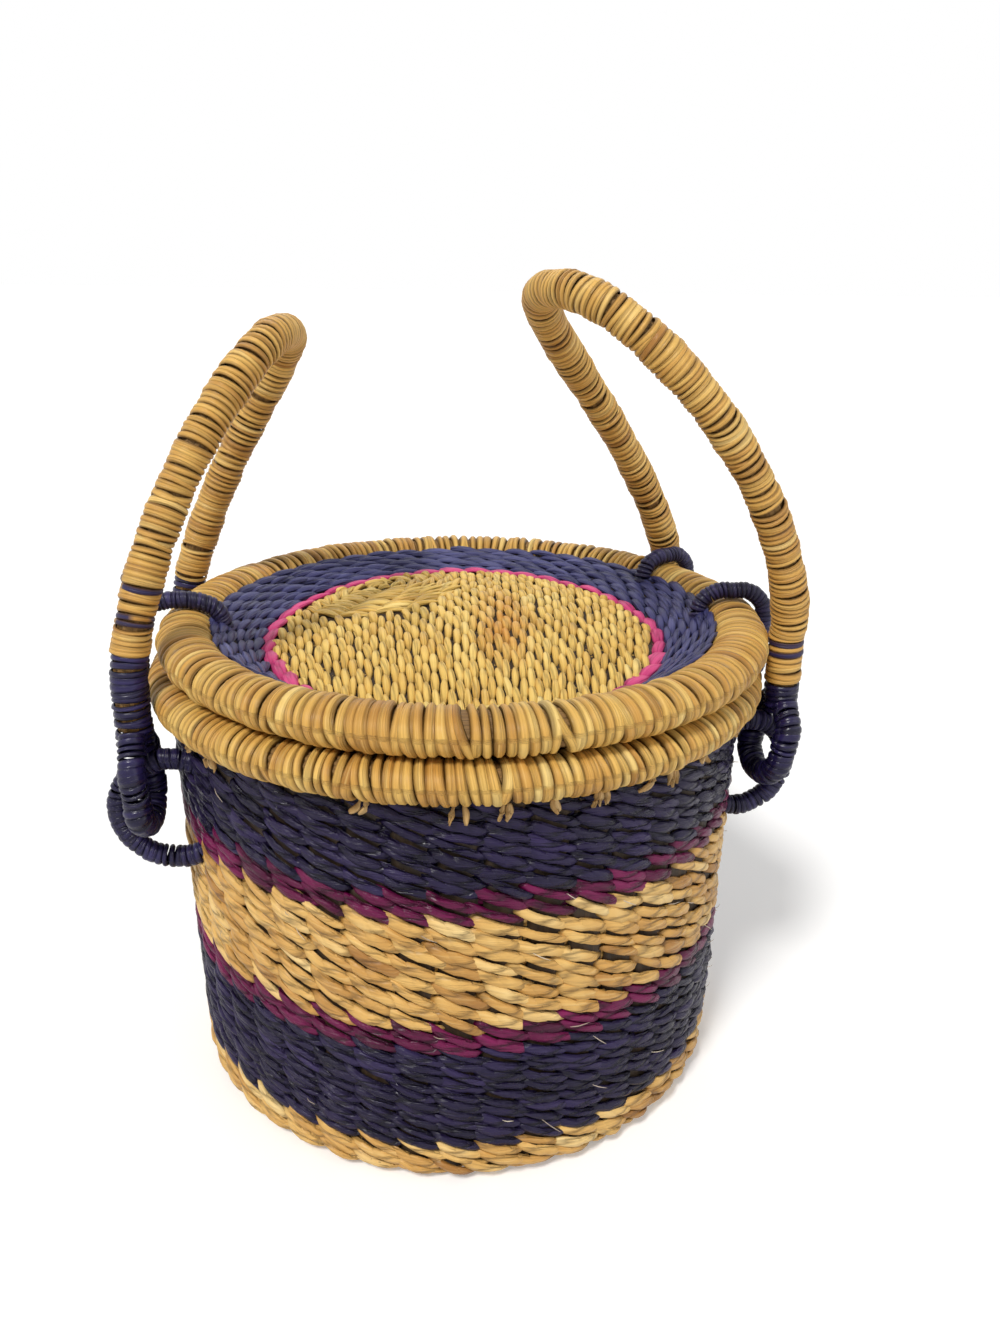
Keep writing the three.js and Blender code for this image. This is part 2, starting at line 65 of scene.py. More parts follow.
def strand_stretch(sides, widths, depths):
    """A stretch of strand along X, 1 long, 1 wide and 1 deep, with its share of width and depth at each ring.
    Gives its points, its faces and how near each point is to an end."""
    bpy.ops.mesh.primitive_cylinder_add(vertices=sides, radius=0.5, depth=1, end_fill_type="TRIFAN",
                                        rotation=(0, math.pi / 2, 0))
    bpy.ops.object.transform_apply(location=False, rotation=True, scale=False)
    stretch = bpy.context.object
    bpy.ops.object.mode_set(mode="EDIT")
    bpy.ops.mesh.select_mode(type="EDGE")
    bpy.ops.mesh.select_all(action="DESELECT")
    work = bmesh.from_edit_mesh(stretch.data)
    for edge in work.edges:
        edge.select_set(abs(edge.verts[0].co.x - edge.verts[1].co.x) > 0.5)
    bpy.ops.mesh.subdivide(number_cuts=len(widths) - 2)
    bpy.ops.object.mode_set(mode="OBJECT")
    points = np.array([vertex.co[:] for vertex in stretch.data.vertices])
    ring = np.rint((points[:, 0] + 0.5) * (len(widths) - 1)).astype(int)
    points[:, 1:] *= np.stack([widths, depths], axis=1)[ring]
    faces = [tuple(face.vertices) for face in stretch.data.polygons]
    bpy.data.objects.remove(stretch)
    # the last value weights the painted shade at a stitch's ends, where it dives under its neighbours
    return points, faces, np.clip(2.2 * np.abs(points[:, 0]) - 0.25, 0, 1) ** 3


def corner_uvs(points, faces):
    """For each corner of each face, the place along the strand and round it."""
    rows = []
    for face in faces:
        turns = [math.atan2(points[i][2], points[i][1]) / full_turn % 1 for i in face]
        if max(turns) - min(turns) > 0.5:
            turns = [turn + 1 if turn < 0.5 else turn for turn in turns]
        rows += [(points[i][0] + 0.5, turn) for i, turn in zip(face, turns)]
    return np.array(rows)


def mesh_piece(name, points, faces, uvs, marks):
    """An object from points in mm, with a UV map and one number per point for each mark."""
    mesh = bpy.data.meshes.new(name)
    mesh.from_pydata((np.asarray(points) * mm).tolist(), [], faces)
    layer = mesh.uv_layers.new(name="strand")
    layer.data.foreach_set("uv", np.asarray(uvs, dtype=np.float32).ravel())
    for mark, values in marks.items():
        attribute = mesh.attributes.new(mark, "FLOAT", "POINT")
        attribute.data.foreach_set("value", np.asarray(values, dtype=np.float32).ravel())
    mesh.polygons.foreach_set("use_smooth", [True] * len(mesh.polygons))
    mesh.update()
    piece = bpy.data.objects.new(name, mesh)
    bpy.context.collection.objects.link(piece)
    return piece


def copies(name, laid, stretch, side, lengths, tones):
    """One piece of all the laid copies of a stretch. On side -1 their faces are turned round."""
    points, faces, ends = stretch
    count, block = len(laid), len(points)
    turned = [face[::side] for face in faces]
    all_faces = [tuple(i + copy * block for i in face) for copy in range(count) for face in turned]
    uvs = np.tile(corner_uvs(points, turned), (count, 1))
    uvs[:, 0] *= np.repeat(lengths, sum(len(face) for face in turned)) * mm * uv_scale
    # edge carries painted shade: it darkens each copy towards its ends, where the strand dives under its neighbours
    marks = {"tone": np.repeat(tones, block), "kind": np.repeat(dice.random(count), block),
             "edge": np.tile(ends, count)}
    return mesh_piece(name, laid.reshape(-1, 3), all_faces, uvs, marks)


def run_of(line):
    """The length so far at each point of a line."""
    return np.concatenate([[0], np.cumsum(np.linalg.norm(np.diff(line, axis=0), axis=1))])


def profile_of(points):
    """A profile: the length so far at each point, and a table of radius, height and the normal's two parts."""
    line = np.array(points, dtype=float)
    run = run_of(line)
    slope = np.gradient(line, run, axis=0)
    slope /= np.linalg.norm(slope, axis=1)[:, None]
    return run, np.column_stack([line, slope[:, 1], -slope[:, 0]])


def on_profile(profile, place):
    return [np.interp(place, profile[0], column) for column in profile[1].T]


def arched(x, bulge, sink):
    """How far a strand stands off the weave: over a stake in its middle, and sunk at its ends."""
    return bulge * np.cos(math.pi * np.clip(x, -0.5, 0.5)) ** 0.7 - sink


def lay_stretches(name, stretch, profile, stitches, sink, side=1):
    """Copies of a stretch laid round the axis on a profile: side 1 on its own side, side -1 behind it."""
    x, y, z = stretch[0].T
    angle, place, radius, length, width, depth, slope, bulge, tone = stitches[:, :, None]
    across = y * width - slope * np.sin(math.pi * x)
    distance, height, normal_radius, normal_height = on_profile(profile, place + across)
    out = side * (z * depth + arched(x, bulge, sink))
    distance = distance + normal_radius * out
    turn = angle + x * length / radius
    laid = np.stack([distance * np.cos(turn), distance * np.sin(turn), height + normal_height * out], axis=-1)
    return copies(name, laid, stretch, side, length.ravel(), tone.ravel())


def twined_row(angle, place, radius, pitch, depth, lean, habits):
    """The stitches of one row. habits holds, for angle, place, length, width, depth, slope, bulge and tone, the
    usual size and how far single stitches stray from it."""
    usual, stray = np.array(habits).T[:, :, None]
    turn, shift, length, width, deep, slope, bulge, tone = usual + stray * dice.normal(0, 1, (8, len(angle)))
    step = full_turn * radius / len(angle)
    return np.array([angle + turn, place + shift, 0 * turn + radius, step * length, pitch * width, depth * deep,
                     pitch * slope * lean, bulge, np.clip(tone, 0, 1)])


def base_stakes(radius):
    """How many stakes a row crosses: more are set in as the disc grows."""
    return 8 if radius < 14 else 16 if radius < 30 else 23 if radius < 62 else stake_count


def disc_rows(inner, outer):
    pitch = (outer - inner) / base_rows
    made = []
    for row in range(base_rows):
        radius = inner + (row + 0.5) * pitch
        count = base_stakes(radius)
        angle = (np.arange(count) + 0.5) / count * full_turn
        habits = [(0, 0.05 * full_turn / count), (0, 0.05 * pitch), (1.55, 0.06), (1.05, 0.07), (1, 0.06),
                  (0.42, 0.05), (1.9, 0.2), (0.5, 0.16)]
        made.append(twined_row(angle, radius, radius, pitch, base_strand_depth, 1, habits))
    return np.concatenate(made, axis=1)


def add_node(tree, kind, output, sockets, **settings):
    """One output of a new node. Each socket is set to a value, or joined where another node gives it."""
    node = tree.nodes.new("ShaderNode" + kind)
    for setting, value in settings.items():
        setattr(node, setting, value)
    for socket, value in sockets.items():
        if isinstance(value, bpy.types.NodeSocket):
            tree.links.new(value, node.inputs[socket])
        else:
            node.inputs[socket].default_value = value
    return node.outputs[output]


def maths(tree, operation, first, second=0.0, clamp=False):
    return add_node(tree, "Math", 0, {0: first, 1: second}, operation=operation, use_clamp=clamp)


def product(tree, first, second, clamp=False):
    return maths(tree, "MULTIPLY", first, second, clamp)


def total(tree, first, second, clamp=False):
    return maths(tree, "ADD", first, second, clamp)


def stretch_range(tree, value, low, high):
    return add_node(tree, "MapRange", "Result", {"Value": value, "From Min": low, "From Max": high})


def mark_of(tree, name):
    return add_node(tree, "Attribute", "Fac", {}, attribute_name=name)


def noise(tree, place, scale, detail=2.0, roughness=0.5):
    return add_node(tree, "TexNoise", "Fac",
                    {"Vector": place, "Scale": scale, "Detail": detail, "Roughness": roughness})


def mix_colours(tree, factor, first, second, blend="MIX"):
    first, second = [(*colour, 1) if isinstance(colour, tuple) else colour for colour in (first, second)]
    return add_node(tree, "Mix", "Result", {"Factor": factor, "A": first, "B": second}, data_type="RGBA",
                    blend_type=blend)


# the grain of every strand: fine lines along it, furrows of its twist, flecks and broad patches
grain = bpy.data.node_groups.new("straw grain", "ShaderNodeTree")
for socket, usual in (("Lines Across", 9.0), ("Lines Along", 1.6), ("Creases", 2.0), ("Twist", 3.3)):
    grain.interface.new_socket(name=socket, in_out="INPUT", socket_type="NodeSocketFloat").default_value = usual
for socket in ("Lines", "Patch", "Fleck", "Crease"):
    grain.interface.new_socket(name=socket, in_out="OUTPUT", socket_type="NodeSocketFloat")
grain_in = grain.nodes.new("NodeGroupInput").outputs
grain_out = grain.nodes.new("NodeGroupOutput").inputs
along_strand = add_node(grain, "SeparateXYZ", "X", {0: add_node(grain, "UVMap", "UV", {}, uv_map="strand")})
round_strand = along_strand.node.outputs["Y"]
strand_kind = mark_of(grain, "kind")
strand_place = add_node(grain, "CombineXYZ", 0, {"X": product(grain, along_strand, grain_in["Lines Along"]),
                                                 "Y": product(grain, round_strand, grain_in["Lines Across"]),
                                                 "Z": product(grain, strand_kind, 41.0)})
crease_turn = total(grain, product(grain, round_strand, grain_in["Creases"]),
                    product(grain, along_strand, grain_in["Twist"]))
crease_turn = total(grain, crease_turn, product(grain, strand_kind, 7.0))
crease_turn = total(grain, crease_turn, product(grain, noise(grain, strand_place, 0.9), 0.7))
crease_wave = maths(grain, "ABSOLUTE", maths(grain, "SINE", product(grain, crease_turn, math.pi)))
patches = noise(grain, add_node(grain, "TexCoord", "Object", {}), 55.0)
for socket, value in (("Lines", stretch_range(grain, noise(grain, strand_place, 1.6, 3.0, 0.6), 0.28, 0.72)),
                      ("Patch", stretch_range(grain, patches, 0.3, 0.7)),
                      ("Fleck", noise(grain, strand_place, 3.4, 4.0, 0.7)),
                      ("Crease", stretch_range(grain, crease_wave, 0.0, 0.55))):
    grain.links.new(value, grain_out[socket])


def stained(tree, colour, centre, size, tint, strength):
    """A soft stain on the straw round a point, with a ragged edge."""
    where = add_node(tree, "TexCoord", "Object", {})
    near = add_node(tree, "Mapping", "Vector", {"Vector": where, "Location": [part * mm for part in centre],
                                                "Scale": [part * mm for part in size]}, vector_type="TEXTURE")
    ball = add_node(tree, "TexGradient", "Fac", {"Vector": near}, gradient_type="SPHERICAL")
    mask = product(tree, ball, product(tree, noise(tree, where, 120.0), 2.0))
    return mix_colours(tree, product(tree, mask, strength, True), colour, tint, "MULTIPLY")


def straw_material(name, shades, roughness, wear=None, wear_from=0.66, across=9.0, along=1.6, bump=0.35,
                   stains=(), dye=None, creases=2.0, twist=3.3, painted_crease_shade=0.5, gloss=0.5, painted_edge_shade=0.8):
    """Twisted straw. shades run from the darkest strand to the palest, and wear is the bare colour under a dye."""
    material = bpy.data.materials.new(name)
    material.use_nodes = True
    tree = material.node_tree
    strand = add_node(tree, "Group", 0, {"Lines Across": across, "Lines Along": along, "Creases": creases,
                                         "Twist": twist}, node_tree=grain).node.outputs
    shade = total(tree, product(tree, mark_of(tree, "tone"), 0.72), product(tree, strand["Patch"], 0.28), True)
    colour = add_node(tree, "ValToRGB", "Color", {"Fac": shade})
    stops = colour.node.color_ramp.elements
    for i, part in enumerate(shades):
        place = 0.12 + 0.76 * i / (len(shades) - 1)
        stop = stops[0] if i == 0 else stops[-1] if part is shades[-1] else stops.new(place)
        stop.position, stop.color = place, (*part, 1)
    dark_lines = stretch_range(tree, strand["Lines"], 0.42, 0.0)
    colour = mix_colours(tree, product(tree, dark_lines, 0.55), colour, tuple(0.45 * part for part in shades[0]))
    light_lines = stretch_range(tree, strand["Lines"], 0.6, 1.0)
    colour = mix_colours(tree, product(tree, light_lines, 0.45), colour, shades[-1])
    if dye:
        colour = mix_colours(tree, mark_of(tree, "dyed"), colour, dye)
    # deep is the colour of painted shade. It is laid into the furrows of the twist below, and onto the points
    # marked edge
    deep = tuple(0.22 * part for part in shades[0])
    # painted shade in the creases of the twist
    furrow = maths(tree, "POWER", maths(tree, "SUBTRACT", 1.0, strand["Crease"], True), 1.2)
    colour = mix_colours(tree, product(tree, furrow, painted_crease_shade), colour, deep)
    if wear:
        worn = product(tree, stretch_range(tree, strand["Fleck"], wear_from, wear_from + 0.1), 0.85, True)
        colour = mix_colours(tree, worn, colour, wear)
    for stain in stains:
        colour = stained(tree, colour, *stain)
    # painted shade at the points marked edge: a stitch's ends, and a wound strip's borders and underside
    colour = mix_colours(tree, product(tree, mark_of(tree, "edge"), painted_edge_shade, True), colour, deep)
    relief = total(tree, product(tree, strand["Lines"], 0.45), strand["Crease"])
    shader = tree.nodes["Principled BSDF"]
    shader.inputs["Specular IOR Level"].default_value = gloss
    for socket, value in (
            ("Base Color", colour),
            ("Roughness", total(tree, product(tree, strand["Patch"], 0.14), roughness - 0.07)),
            ("Normal", add_node(tree, "Bump", "Normal", {"Strength": bump, "Distance": 0.0011, "Height": relief}))):
        tree.links.new(value, shader.inputs[socket])
    return material


def set_material(piece, material):
    piece.data.materials.clear()
    piece.data.materials.append(material)


wall_straw = straw_material("undyed straw of the wall",
                            [(0.40, 0.185, 0.042), (0.63, 0.34, 0.085), (0.77, 0.47, 0.14), (0.90, 0.65, 0.28)],
                            0.45, bump=0.7, gloss=0.4, painted_crease_shade=0.55)
inner_stitch = strand_stretch(6, [0.3, 0.9, 1.0, 0.95, 0.75, 0.25], [0.6, 0.95, 1.0, 1.0, 0.85, 0.5])
base_under = lay_stretches("base_underside", inner_stitch,
                           profile_of([(0, base_under_height), (foot_radius + 6, base_under_height)]),
                           disc_rows(2, foot_radius), base_sink)
base_over = lay_stretches("base_inside", inner_stitch,
                          profile_of([(0, base_over_height), (foot_radius + 6, base_over_height)]),
                          disc_rows(2, foot_radius + 1.5), base_sink, side=-1)
for piece in (base_under, base_over):
    set_material(piece, wall_straw)
    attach(piece, "basket")
    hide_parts("base_disc")

# Wall: bands of undyed, navy and magenta straw from the heel to the rim, each twined in rows
# over the same stakes. Outside, a stitch is two or three straws side by side; inside it is one.
# Dye wears off the high places.
wall_height = 193.5
heel_radius = 8.5
wall_foot_radius = 136.0
wall_top_radius = 140.0
wall_thickness = 7.5
wall_strand_depth = 3.4
wall_sink = 1.6
outer_foot = 4.2     # height of the outer strands' middle on the base
outer_lift = 3.4     # of the heel's lowest rows over its round
inner_foot = 5.9     # the same inside
inside_bottom = 6.2  # height at which the rows inside begin
wall_habits = [(0, 0.012), (0, 0.28), (1.50, 0.08), (1.15, 0.08), (1.05, 0.09), (0.16, 0.06), (2.9, 0.35),
               (0.5, 0.2)]
straw_length = 0.66  # of one straw of a stitch, as a share of the stitch
straw_depth = 0.86


def heel(radius):
    """The quarter round from the base to the wall, with this radius about the heel's middle."""
    return [(wall_foot_radius - heel_radius + radius * math.sin(turn), heel_radius - radius * math.cos(turn))
            for turn in np.linspace(0, math.pi / 2, 9)]


outer_profile = profile_of([(20, outer_foot), (foot_radius - 6, outer_foot)]
                           + [(radius - 1.2, height + outer_lift * (1 - height / heel_radius))
                              for radius, height in heel(heel_radius - 0.7)]
                           + [(wall_top_radius - 3.1, wall_height + 2)])
inner_profile = profile_of([(20, inner_foot), (foot_radius - 6, inner_foot)] + heel(2.6)
                           + [(wall_top_radius - wall_thickness + 2.0, wall_height + 2)])


def twist_of(straw, parts):
    """One stitch of several straws. A part is its place along, its drop, its width and its height across."""
    points, faces, ends = straw
    x, y, z = points.T
    laid = [np.stack([place + straw_length * x, y * width + high - 0.5 * drop * np.sin(math.pi * x),
                      z * straw_depth], axis=1) for place, drop, width, high in parts]
    all_faces = [tuple(i + part * len(points) for i in face) for part in range(len(parts)) for face in faces]
    return np.concatenate(laid), all_faces, np.tile(ends, len(parts))


outer_straw = strand_stretch(8, [0.40, 0.88, 1.0, 1.0, 0.92, 0.70, 0.28], [0.5, 0.85, 1.0, 1.0, 1.0, 0.85, 0.5])
outer_stitches = [
    twist_of(outer_straw, [(-0.17, 0.62, 0.82, 0.15), (0.15, 0.62, 0.82, -0.13)]),
    twist_of(outer_straw, [(-0.15, 0.70, 0.66, 0.24), (0.02, 0.60, 0.60, 0.02), (0.17, 0.66, 0.66, -0.20)]),
    twist_of(outer_straw, [(-0.12, 0.55, 0.98, 0.06), (0.18, 0.60, 0.66, -0.20)]),
]


def slow_wave(angle, row, size):
    """A drift along a row that its neighbours share, as hand-pulled rows have."""
    return size * (np.sin(3 * angle + 0.35 * row) + 0.6 * np.sin(7 * angle + 1.3 + 0.5 * row)
                   + 0.4 * np.sin(13 * angle + 0.9 * row))


def place_at_height(profile, height):
    run, table = profile
    rising = run > foot_radius - 30
    return float(np.interp(height, table[rising, 1], run[rising]))


def wall_rows(profile, bottom, top, rows, lean):
    """The stitches of a band: one on each stake in every row."""
    low, high = place_at_height(profile, bottom), place_at_height(profile, top)
    pitch = (high - low) / rows
    angle = (np.arange(stake_count) + 0.5) / stake_count * full_turn
    made = []
    for row in range(rows):
        centre = low + (row + 0.5) * pitch
        made.append(twined_row(angle + slow_wave(angle, centre / 9, 0.010),
                               centre + slow_wave(angle, centre / 14, 0.32), on_profile(profile, centre)[0],
                               pitch, wall_strand_depth, lean, wall_habits))
    return np.concatenate(made, axis=1)


def pick(*pieces):
    """Selects these pieces alone, with the first as the active one."""
    bpy.ops.object.select_all(action="DESELECT")
    for piece in pieces:
        piece.select_set(True)
    bpy.context.view_layer.objects.active = pieces[0]


def joined(pieces, name):
    pick(*pieces)
    bpy.ops.object.join()
    pieces[0].name = name
    pieces[0].select_set(False)
    return pieces[0]


navy_straw = straw_material("navy straw", [(0.006, 0.004, 0.018), (0.014, 0.0085, 0.040), (0.032, 0.020, 0.082)],
                            0.30, wear=(0.42, 0.36, 0.30), wear_from=0.70, bump=1.0, gloss=0.26, painted_crease_shade=0.8)
magenta_straw = straw_material("magenta straw",
                               [(0.055, 0.002, 0.024), (0.125, 0.004, 0.050), (0.21, 0.010, 0.085)], 0.32,
                               wear=(0.50, 0.30, 0.32), wear_from=0.72, bump=0.9, gloss=0.26, painted_crease_shade=0.75)
bands = [
    ("base_band", 1.2, 21.3, 5, wall_straw, "straw"),
    ("lower_navy_band", 21.3, 73.2, 10, navy_straw, "navy_straw"),
    ("lower_magenta_line", 73.2, 85.2, 2, magenta_straw, "magenta_straw"),
    ("middle_natural_band", 85.2, 139.4, 8, wall_straw, "straw"),
    ("upper_magenta_line", 139.4, 151.5, 2, magenta_straw, "magenta_straw"),
    ("upper_navy_band", 151.5, 193.2, 7, navy_straw, "navy_straw"),
]
for band, bottom, top, rows, material, slot in bands:
    stitches = wall_rows(outer_profile, bottom, top, rows, 1)
    choice = dice.choice(len(outer_stitches), stitches.shape[1], p=(0.5, 0.3, 0.2))
    outside = joined([lay_stretches(band, stitch, outer_profile, stitches[:, choice == i], wall_sink)
                      for i, stitch in enumerate(outer_stitches)], band + "_outside")
    inside = lay_stretches(band + "_inside", inner_stitch, inner_profile,
                           wall_rows(inner_profile, max(bottom, inside_bottom), top, rows, -1), wall_sink, side=-1)
    for piece in (outside, inside):
        set_material(piece, material)
        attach(piece, "basket")
        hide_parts(band)

# Stakes: the upright ribs inside the weave, each a flat bundle of straws from the base to
# the rim. They show only in the slots between the stitches, and their straw is painted nearly
# black there as painted shade.
stake_width = 17.0
stake_depth = 2.0
stake_rings = 25
stake_line = profile_of([(foot_radius - 20, 4.6), (foot_radius - 2, 4.6)]
                        + heel(heel_radius - wall_thickness / 2)
                        + [(wall_top_radius - wall_thickness / 2 - 0.3, wall_height + 6)])


def plain_marks(count, tone, kind):
    return {"tone": np.full(count, tone), "kind": np.full(count, kind), "edge": np.zeros(count)}


stake_points, stake_faces, _ = strand_stretch(8, [1] * stake_rings, [1] * stake_rings)
radius, height, normal_radius, normal_height = on_profile(stake_line,
                                                          (stake_points[:, 0] + 0.5) * stake_line[0][-1])
out = stake_depth * stake_points[:, 1]
distance = radius + normal_radius * out
turn = (np.arange(stake_count)[:, None] + 0.5) / stake_count * full_turn + stake_width * stake_points[:, 2] / radius
stake_block = np.stack([distance * np.cos(turn), distance * np.sin(turn), height + normal_height * out + 0 * turn],
                       axis=-1)
stakes = mesh_piece("wall_stakes", stake_block.reshape(-1, 3),
                    [tuple(i + stake * len(stake_points) for i in face)
                     for stake in range(stake_count) for face in stake_faces],
                    np.tile(corner_uvs(stake_points[:, [0, 2, 1]] * (1, -1, 1), stake_faces), (stake_count, 1)),
                    plain_marks(stake_count * len(stake_points), 0.3, 0.2))
# the stakes' straw is painted nearly black: painted shade in the slots between the stitches
stake_straw_painted_shade = straw_material("straw of the stakes, painted dark as shade",
                             [(0.022, 0.012, 0.006), (0.05, 0.028, 0.011), (0.11, 0.062, 0.024)], 0.7)
set_material(stakes, stake_straw_painted_shade)
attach(stakes, "basket")

# Basket rim: the stake ends are folded down into a bundle along the top of the wall, and a
# flat straw is wound round and round it. Wide and narrow turns lean over one another.
basket_rim_radius = 137.6
basket_rim_height = 203.05
rim_stalks = 14
rim_furrow = 0.10       # between two stalks, as a share of the bundle's size
crossing_share = 0.12   # of the turns, which cross their neighbours
lift_beat = 2.399 * math.pi     # from turn to turn, so that no two in a row stand equally high
strip_across = np.array([-0.5, -0.38, -0.16, 0.16, 0.38, 0.5, 0.25, -0.25])
strip_high = np.array([-0.1, 0.46, 0.96, 0.96, 0.46, -0.1, -0.4, -0.4])
# painted shade on a strip: darkest at its borders and under it, in the grooves between the turns
strip_edge_shade = [1.0, 0.6, 0.0, 0.0, 0.6, 1.0, 1.0, 1.0]
strip_v = np.array([0.0, 0.15, 0.38, 0.62, 0.85, 1.0, 1.2, 1.5, 2.0])


def evenly(line, samples):
    """The line as so many samples at even distances."""
    run = run_of(line)
    even = np.linspace(0, run[-1], samples)
    return np.stack([np.interp(even, run, part) for part in line.T], axis=1)


def smooth_path(points, samples):
    """A smooth line through the points, as a row of evenly spaced samples."""
    line = np.asarray(points, dtype=float)
    line = np.vstack([2 * line[0] - line[1], line, 2 * line[-1] - line[-2]])
    dense = []
    for before, start, end, after in zip(line, line[1:], line[2:], line[3:]):
        for t in np.arange(24) / 24:
            dense.append(0.5 * (2 * start + (end - before) * t + (2 * before - 5 * start + 4 * end - after) * t ** 2
                                + (3 * start - before - 3 * end + after) * t ** 3))
    return evenly(np.array(dense + [line[-2]]), samples)


def path_frame(centres, reference, half_out, half_up=None):
    """A path: its length so far at each sample, and a table of its centre, of two directions square to it and
    of the half widths along them."""
    run = run_of(centres)
    tangent = np.gradient(centres, run, axis=0)
    tangent /= np.linalg.norm(tangent, axis=1)[:, None]
    reference = np.broadcast_to(np.asarray(reference, dtype=float), centres.shape)
    out = reference - tangent * np.sum(reference * tangent, axis=1)[:, None]
    out /= np.linalg.norm(out, axis=1)[:, None]
    halves = [np.ones(len(run)) * half for half in (half_out, half_out if half_up is None else half_up)]
    return run, np.column_stack([centres, out, np.cross(tangent, out), *halves])


def round_path(at, turn, furrow=1.0, above=0.0):
    """Points round a path, from rows of its table."""
    out_size, up_size = at[..., 9] * furrow + above, at[..., 10] * furrow + above
    return (at[..., :3] + at[..., 3:6] * (out_size * np.cos(turn))[..., None]
            + at[..., 6:9] * (up_size * np.sin(turn))[..., None])


def tube_faces(rings, sides, closed=False):
    """The faces of a tube of rings of points, with both ends shut unless it closes on itself."""
    faces = []
    for i in range(rings if closed else rings - 1):
        n = (i + 1) % rings
        for j in range(sides):
            k = (j + 1) % sides
            faces.append((i * sides + j, i * sides + k, n * sides + k, n * sides + j))
    if not closed:
        faces += [tuple(range(sides))[::-1], tuple((rings - 1) * sides + j for j in range(sides))]
    return faces


def face_outwards(piece):
    pick(piece)
    bpy.ops.object.mode_set(mode="EDIT")
    bpy.ops.mesh.select_all(action="SELECT")
    bpy.ops.mesh.normals_make_consistent(inside=False)
    bpy.ops.object.mode_set(mode="OBJECT")
    piece.select_set(False)
    return piece


def winding(name, path, pitch, width, thickness, lean, steps, lift, wander, width_spread=0.2, taper=0.0, dyed=()):
    """A flat straw wound round a path, turn beside turn. Its turns differ in width, lean and lift."""
    run, table = path
    turns = max(int(round(run[-1] / pitch)), 2)
    pitch = run[-1] / turns
    whole = np.arange(turns * steps + 1) / steps
    turn = full_turn * whole
    section, rings = len(strip_across), len(whole)

    def smoothly(values):
        return np.interp(whole, np.arange(turns + 2), values)

    def drift(spread):
        return smoothly(dice.normal(0, spread, turns + 2))

    wide = pitch * width * (1 + drift(width_spread))
    wide *= 1 + taper * np.cos(turn + smoothly(dice.uniform(-1.5, 1.5, turns + 2)))
    crossing = np.where(dice.random(turns + 2) < crossing_share, dice.uniform(-0.6, 0.6, turns + 2) * pitch, 0)
    swing = lean + smoothly(dice.normal(0, wander * pitch, turns + 2) + crossing)
    place = pitch * whole + swing * np.sin(turn) + drift(0.07 * pitch)
    raised = lift * (0.5 + 0.5 * np.sin(whole * lift_beat + drift(0.9)))
    high = thickness * (1 + drift(0.15))
    where = np.clip(place[:, None] + wide[:, None] * strip_across, 0, run[-1])
    at = np.stack([np.interp(where, run, part) for part in table.T], axis=-1)
    points = round_path(at, turn[:, None], above=raised[:, None] + high[:, None] * strip_high)
    girth = math.pi * float(np.mean(table[:, 9] + table[:, 10]))
    ring_u = whole * girth * mm * uv_scale
    quad_u = np.stack([ring_u[:-1], ring_u[:-1], ring_u[1:], ring_u[1:]], axis=-1)
    quad_v = np.stack([strip_v[:-1], strip_v[1:], strip_v[1:], strip_v[:-1]], axis=-1)
    uvs = np.stack(np.broadcast_arrays(quad_u[:, None], quad_v), axis=-1).reshape(-1, 2)
    tone = dice.normal(0, 0.17, turns + 2)[np.minimum(whole.astype(int), turns)]
    # edge is painted shade along the strips' borders and undersides
    marks = {"tone": np.repeat(np.clip(0.5 + tone, 0, 1), section),
             "kind": np.repeat((whole.astype(int) * 0.618) % 1, section), "edge": np.tile(strip_edge_shade, rings)}
    if dyed:
        marks["dyed"] = np.repeat(sum((place >= low) & (place <= top) for low, top in dyed) > 0, section)
    return face_outwards(mesh_piece(name, points.reshape(-1, 3), tube_faces(rings, section),
                                    np.vstack([uvs, np.zeros((2 * section, 2))]), marks))


def bundle(name, path, stalks, furrow_depth, closed):
    """A bundle of stalks along a path: a tube with a furrow between each two of them."""
    sides = stalks * 4
    turn = np.arange(sides) / sides * full_turn
    furrow = 1 - furrow_depth * (0.5 + 0.5 * np.cos(turn * stalks))
    table = path[1][:-1] if closed else path[1]
    points = round_path(table[:, None], turn, furrow).reshape(-1, 3)
    faces = tube_faces(len(table), sides, closed)
    uvs = [(i // sides * 0.02, i % sides / 4) for face in faces for i in face]
    return face_outwards(mesh_piece(name, points, faces, uvs, plain_marks(len(points), 0.4, 0.5)))


def rim_path(radius, height, half_width, half_height, shift, samples=721):
    angle = np.radians(45.0) + np.linspace(0, full_turn, samples)
    outward = np.stack([np.cos(angle), np.sin(angle), 0 * angle], axis=1)
    return path_frame(radius * outward + np.array([shift, 0, height]), outward, half_width, half_height)


rim_straw = straw_material("flat straw of the rims",
                           [(0.42, 0.19, 0.035), (0.66, 0.35, 0.075), (0.80, 0.49, 0.12), (0.92, 0.67, 0.24)], 0.42,
                           across=7.0, along=1.2, bump=0.6, creases=1.0, twist=0.6, painted_crease_shade=0.3, gloss=0.35,
                           painted_edge_shade=0.95, stains=[((-148, -22, 203), (12, 9, 14), (0.30, 0.31, 0.27), 1.3),
                                                   ((-140, -26, 226), (12, 7, 14), (0.55, 0.52, 0.42), 1.0)])
# the stalks under the windings are painted darker than straw: painted shade in the gaps between the turns
bundle_straw_painted_shade = straw_material("stalks under the windings, painted dark as shade",
                              [(0.16, 0.08, 0.02), (0.30, 0.16, 0.045), (0.40, 0.24, 0.08)], 0.65)
basket_rim = winding("basket_rim_winding", rim_path(basket_rim_radius, basket_rim_height, 9.6, 7.3, 0), pitch=3.8,
                     width=1.17, thickness=1.7, lean=0.4, steps=30, lift=0.4, wander=0.28, taper=0.14,
                     width_spread=0.11)
set_material(basket_rim, rim_straw)
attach(basket_rim, "basket")
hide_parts("basket_rim_wrap")
basket_bundle = bundle("basket_rim_bundle", rim_path(basket_rim_radius, basket_rim_height, 9.4, 7.1, 0, 145),
                       rim_stalks, rim_furrow, True)
set_material(basket_bundle, bundle_straw_painted_shade)
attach(basket_bundle, "basket")
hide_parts("basket_rim_core")

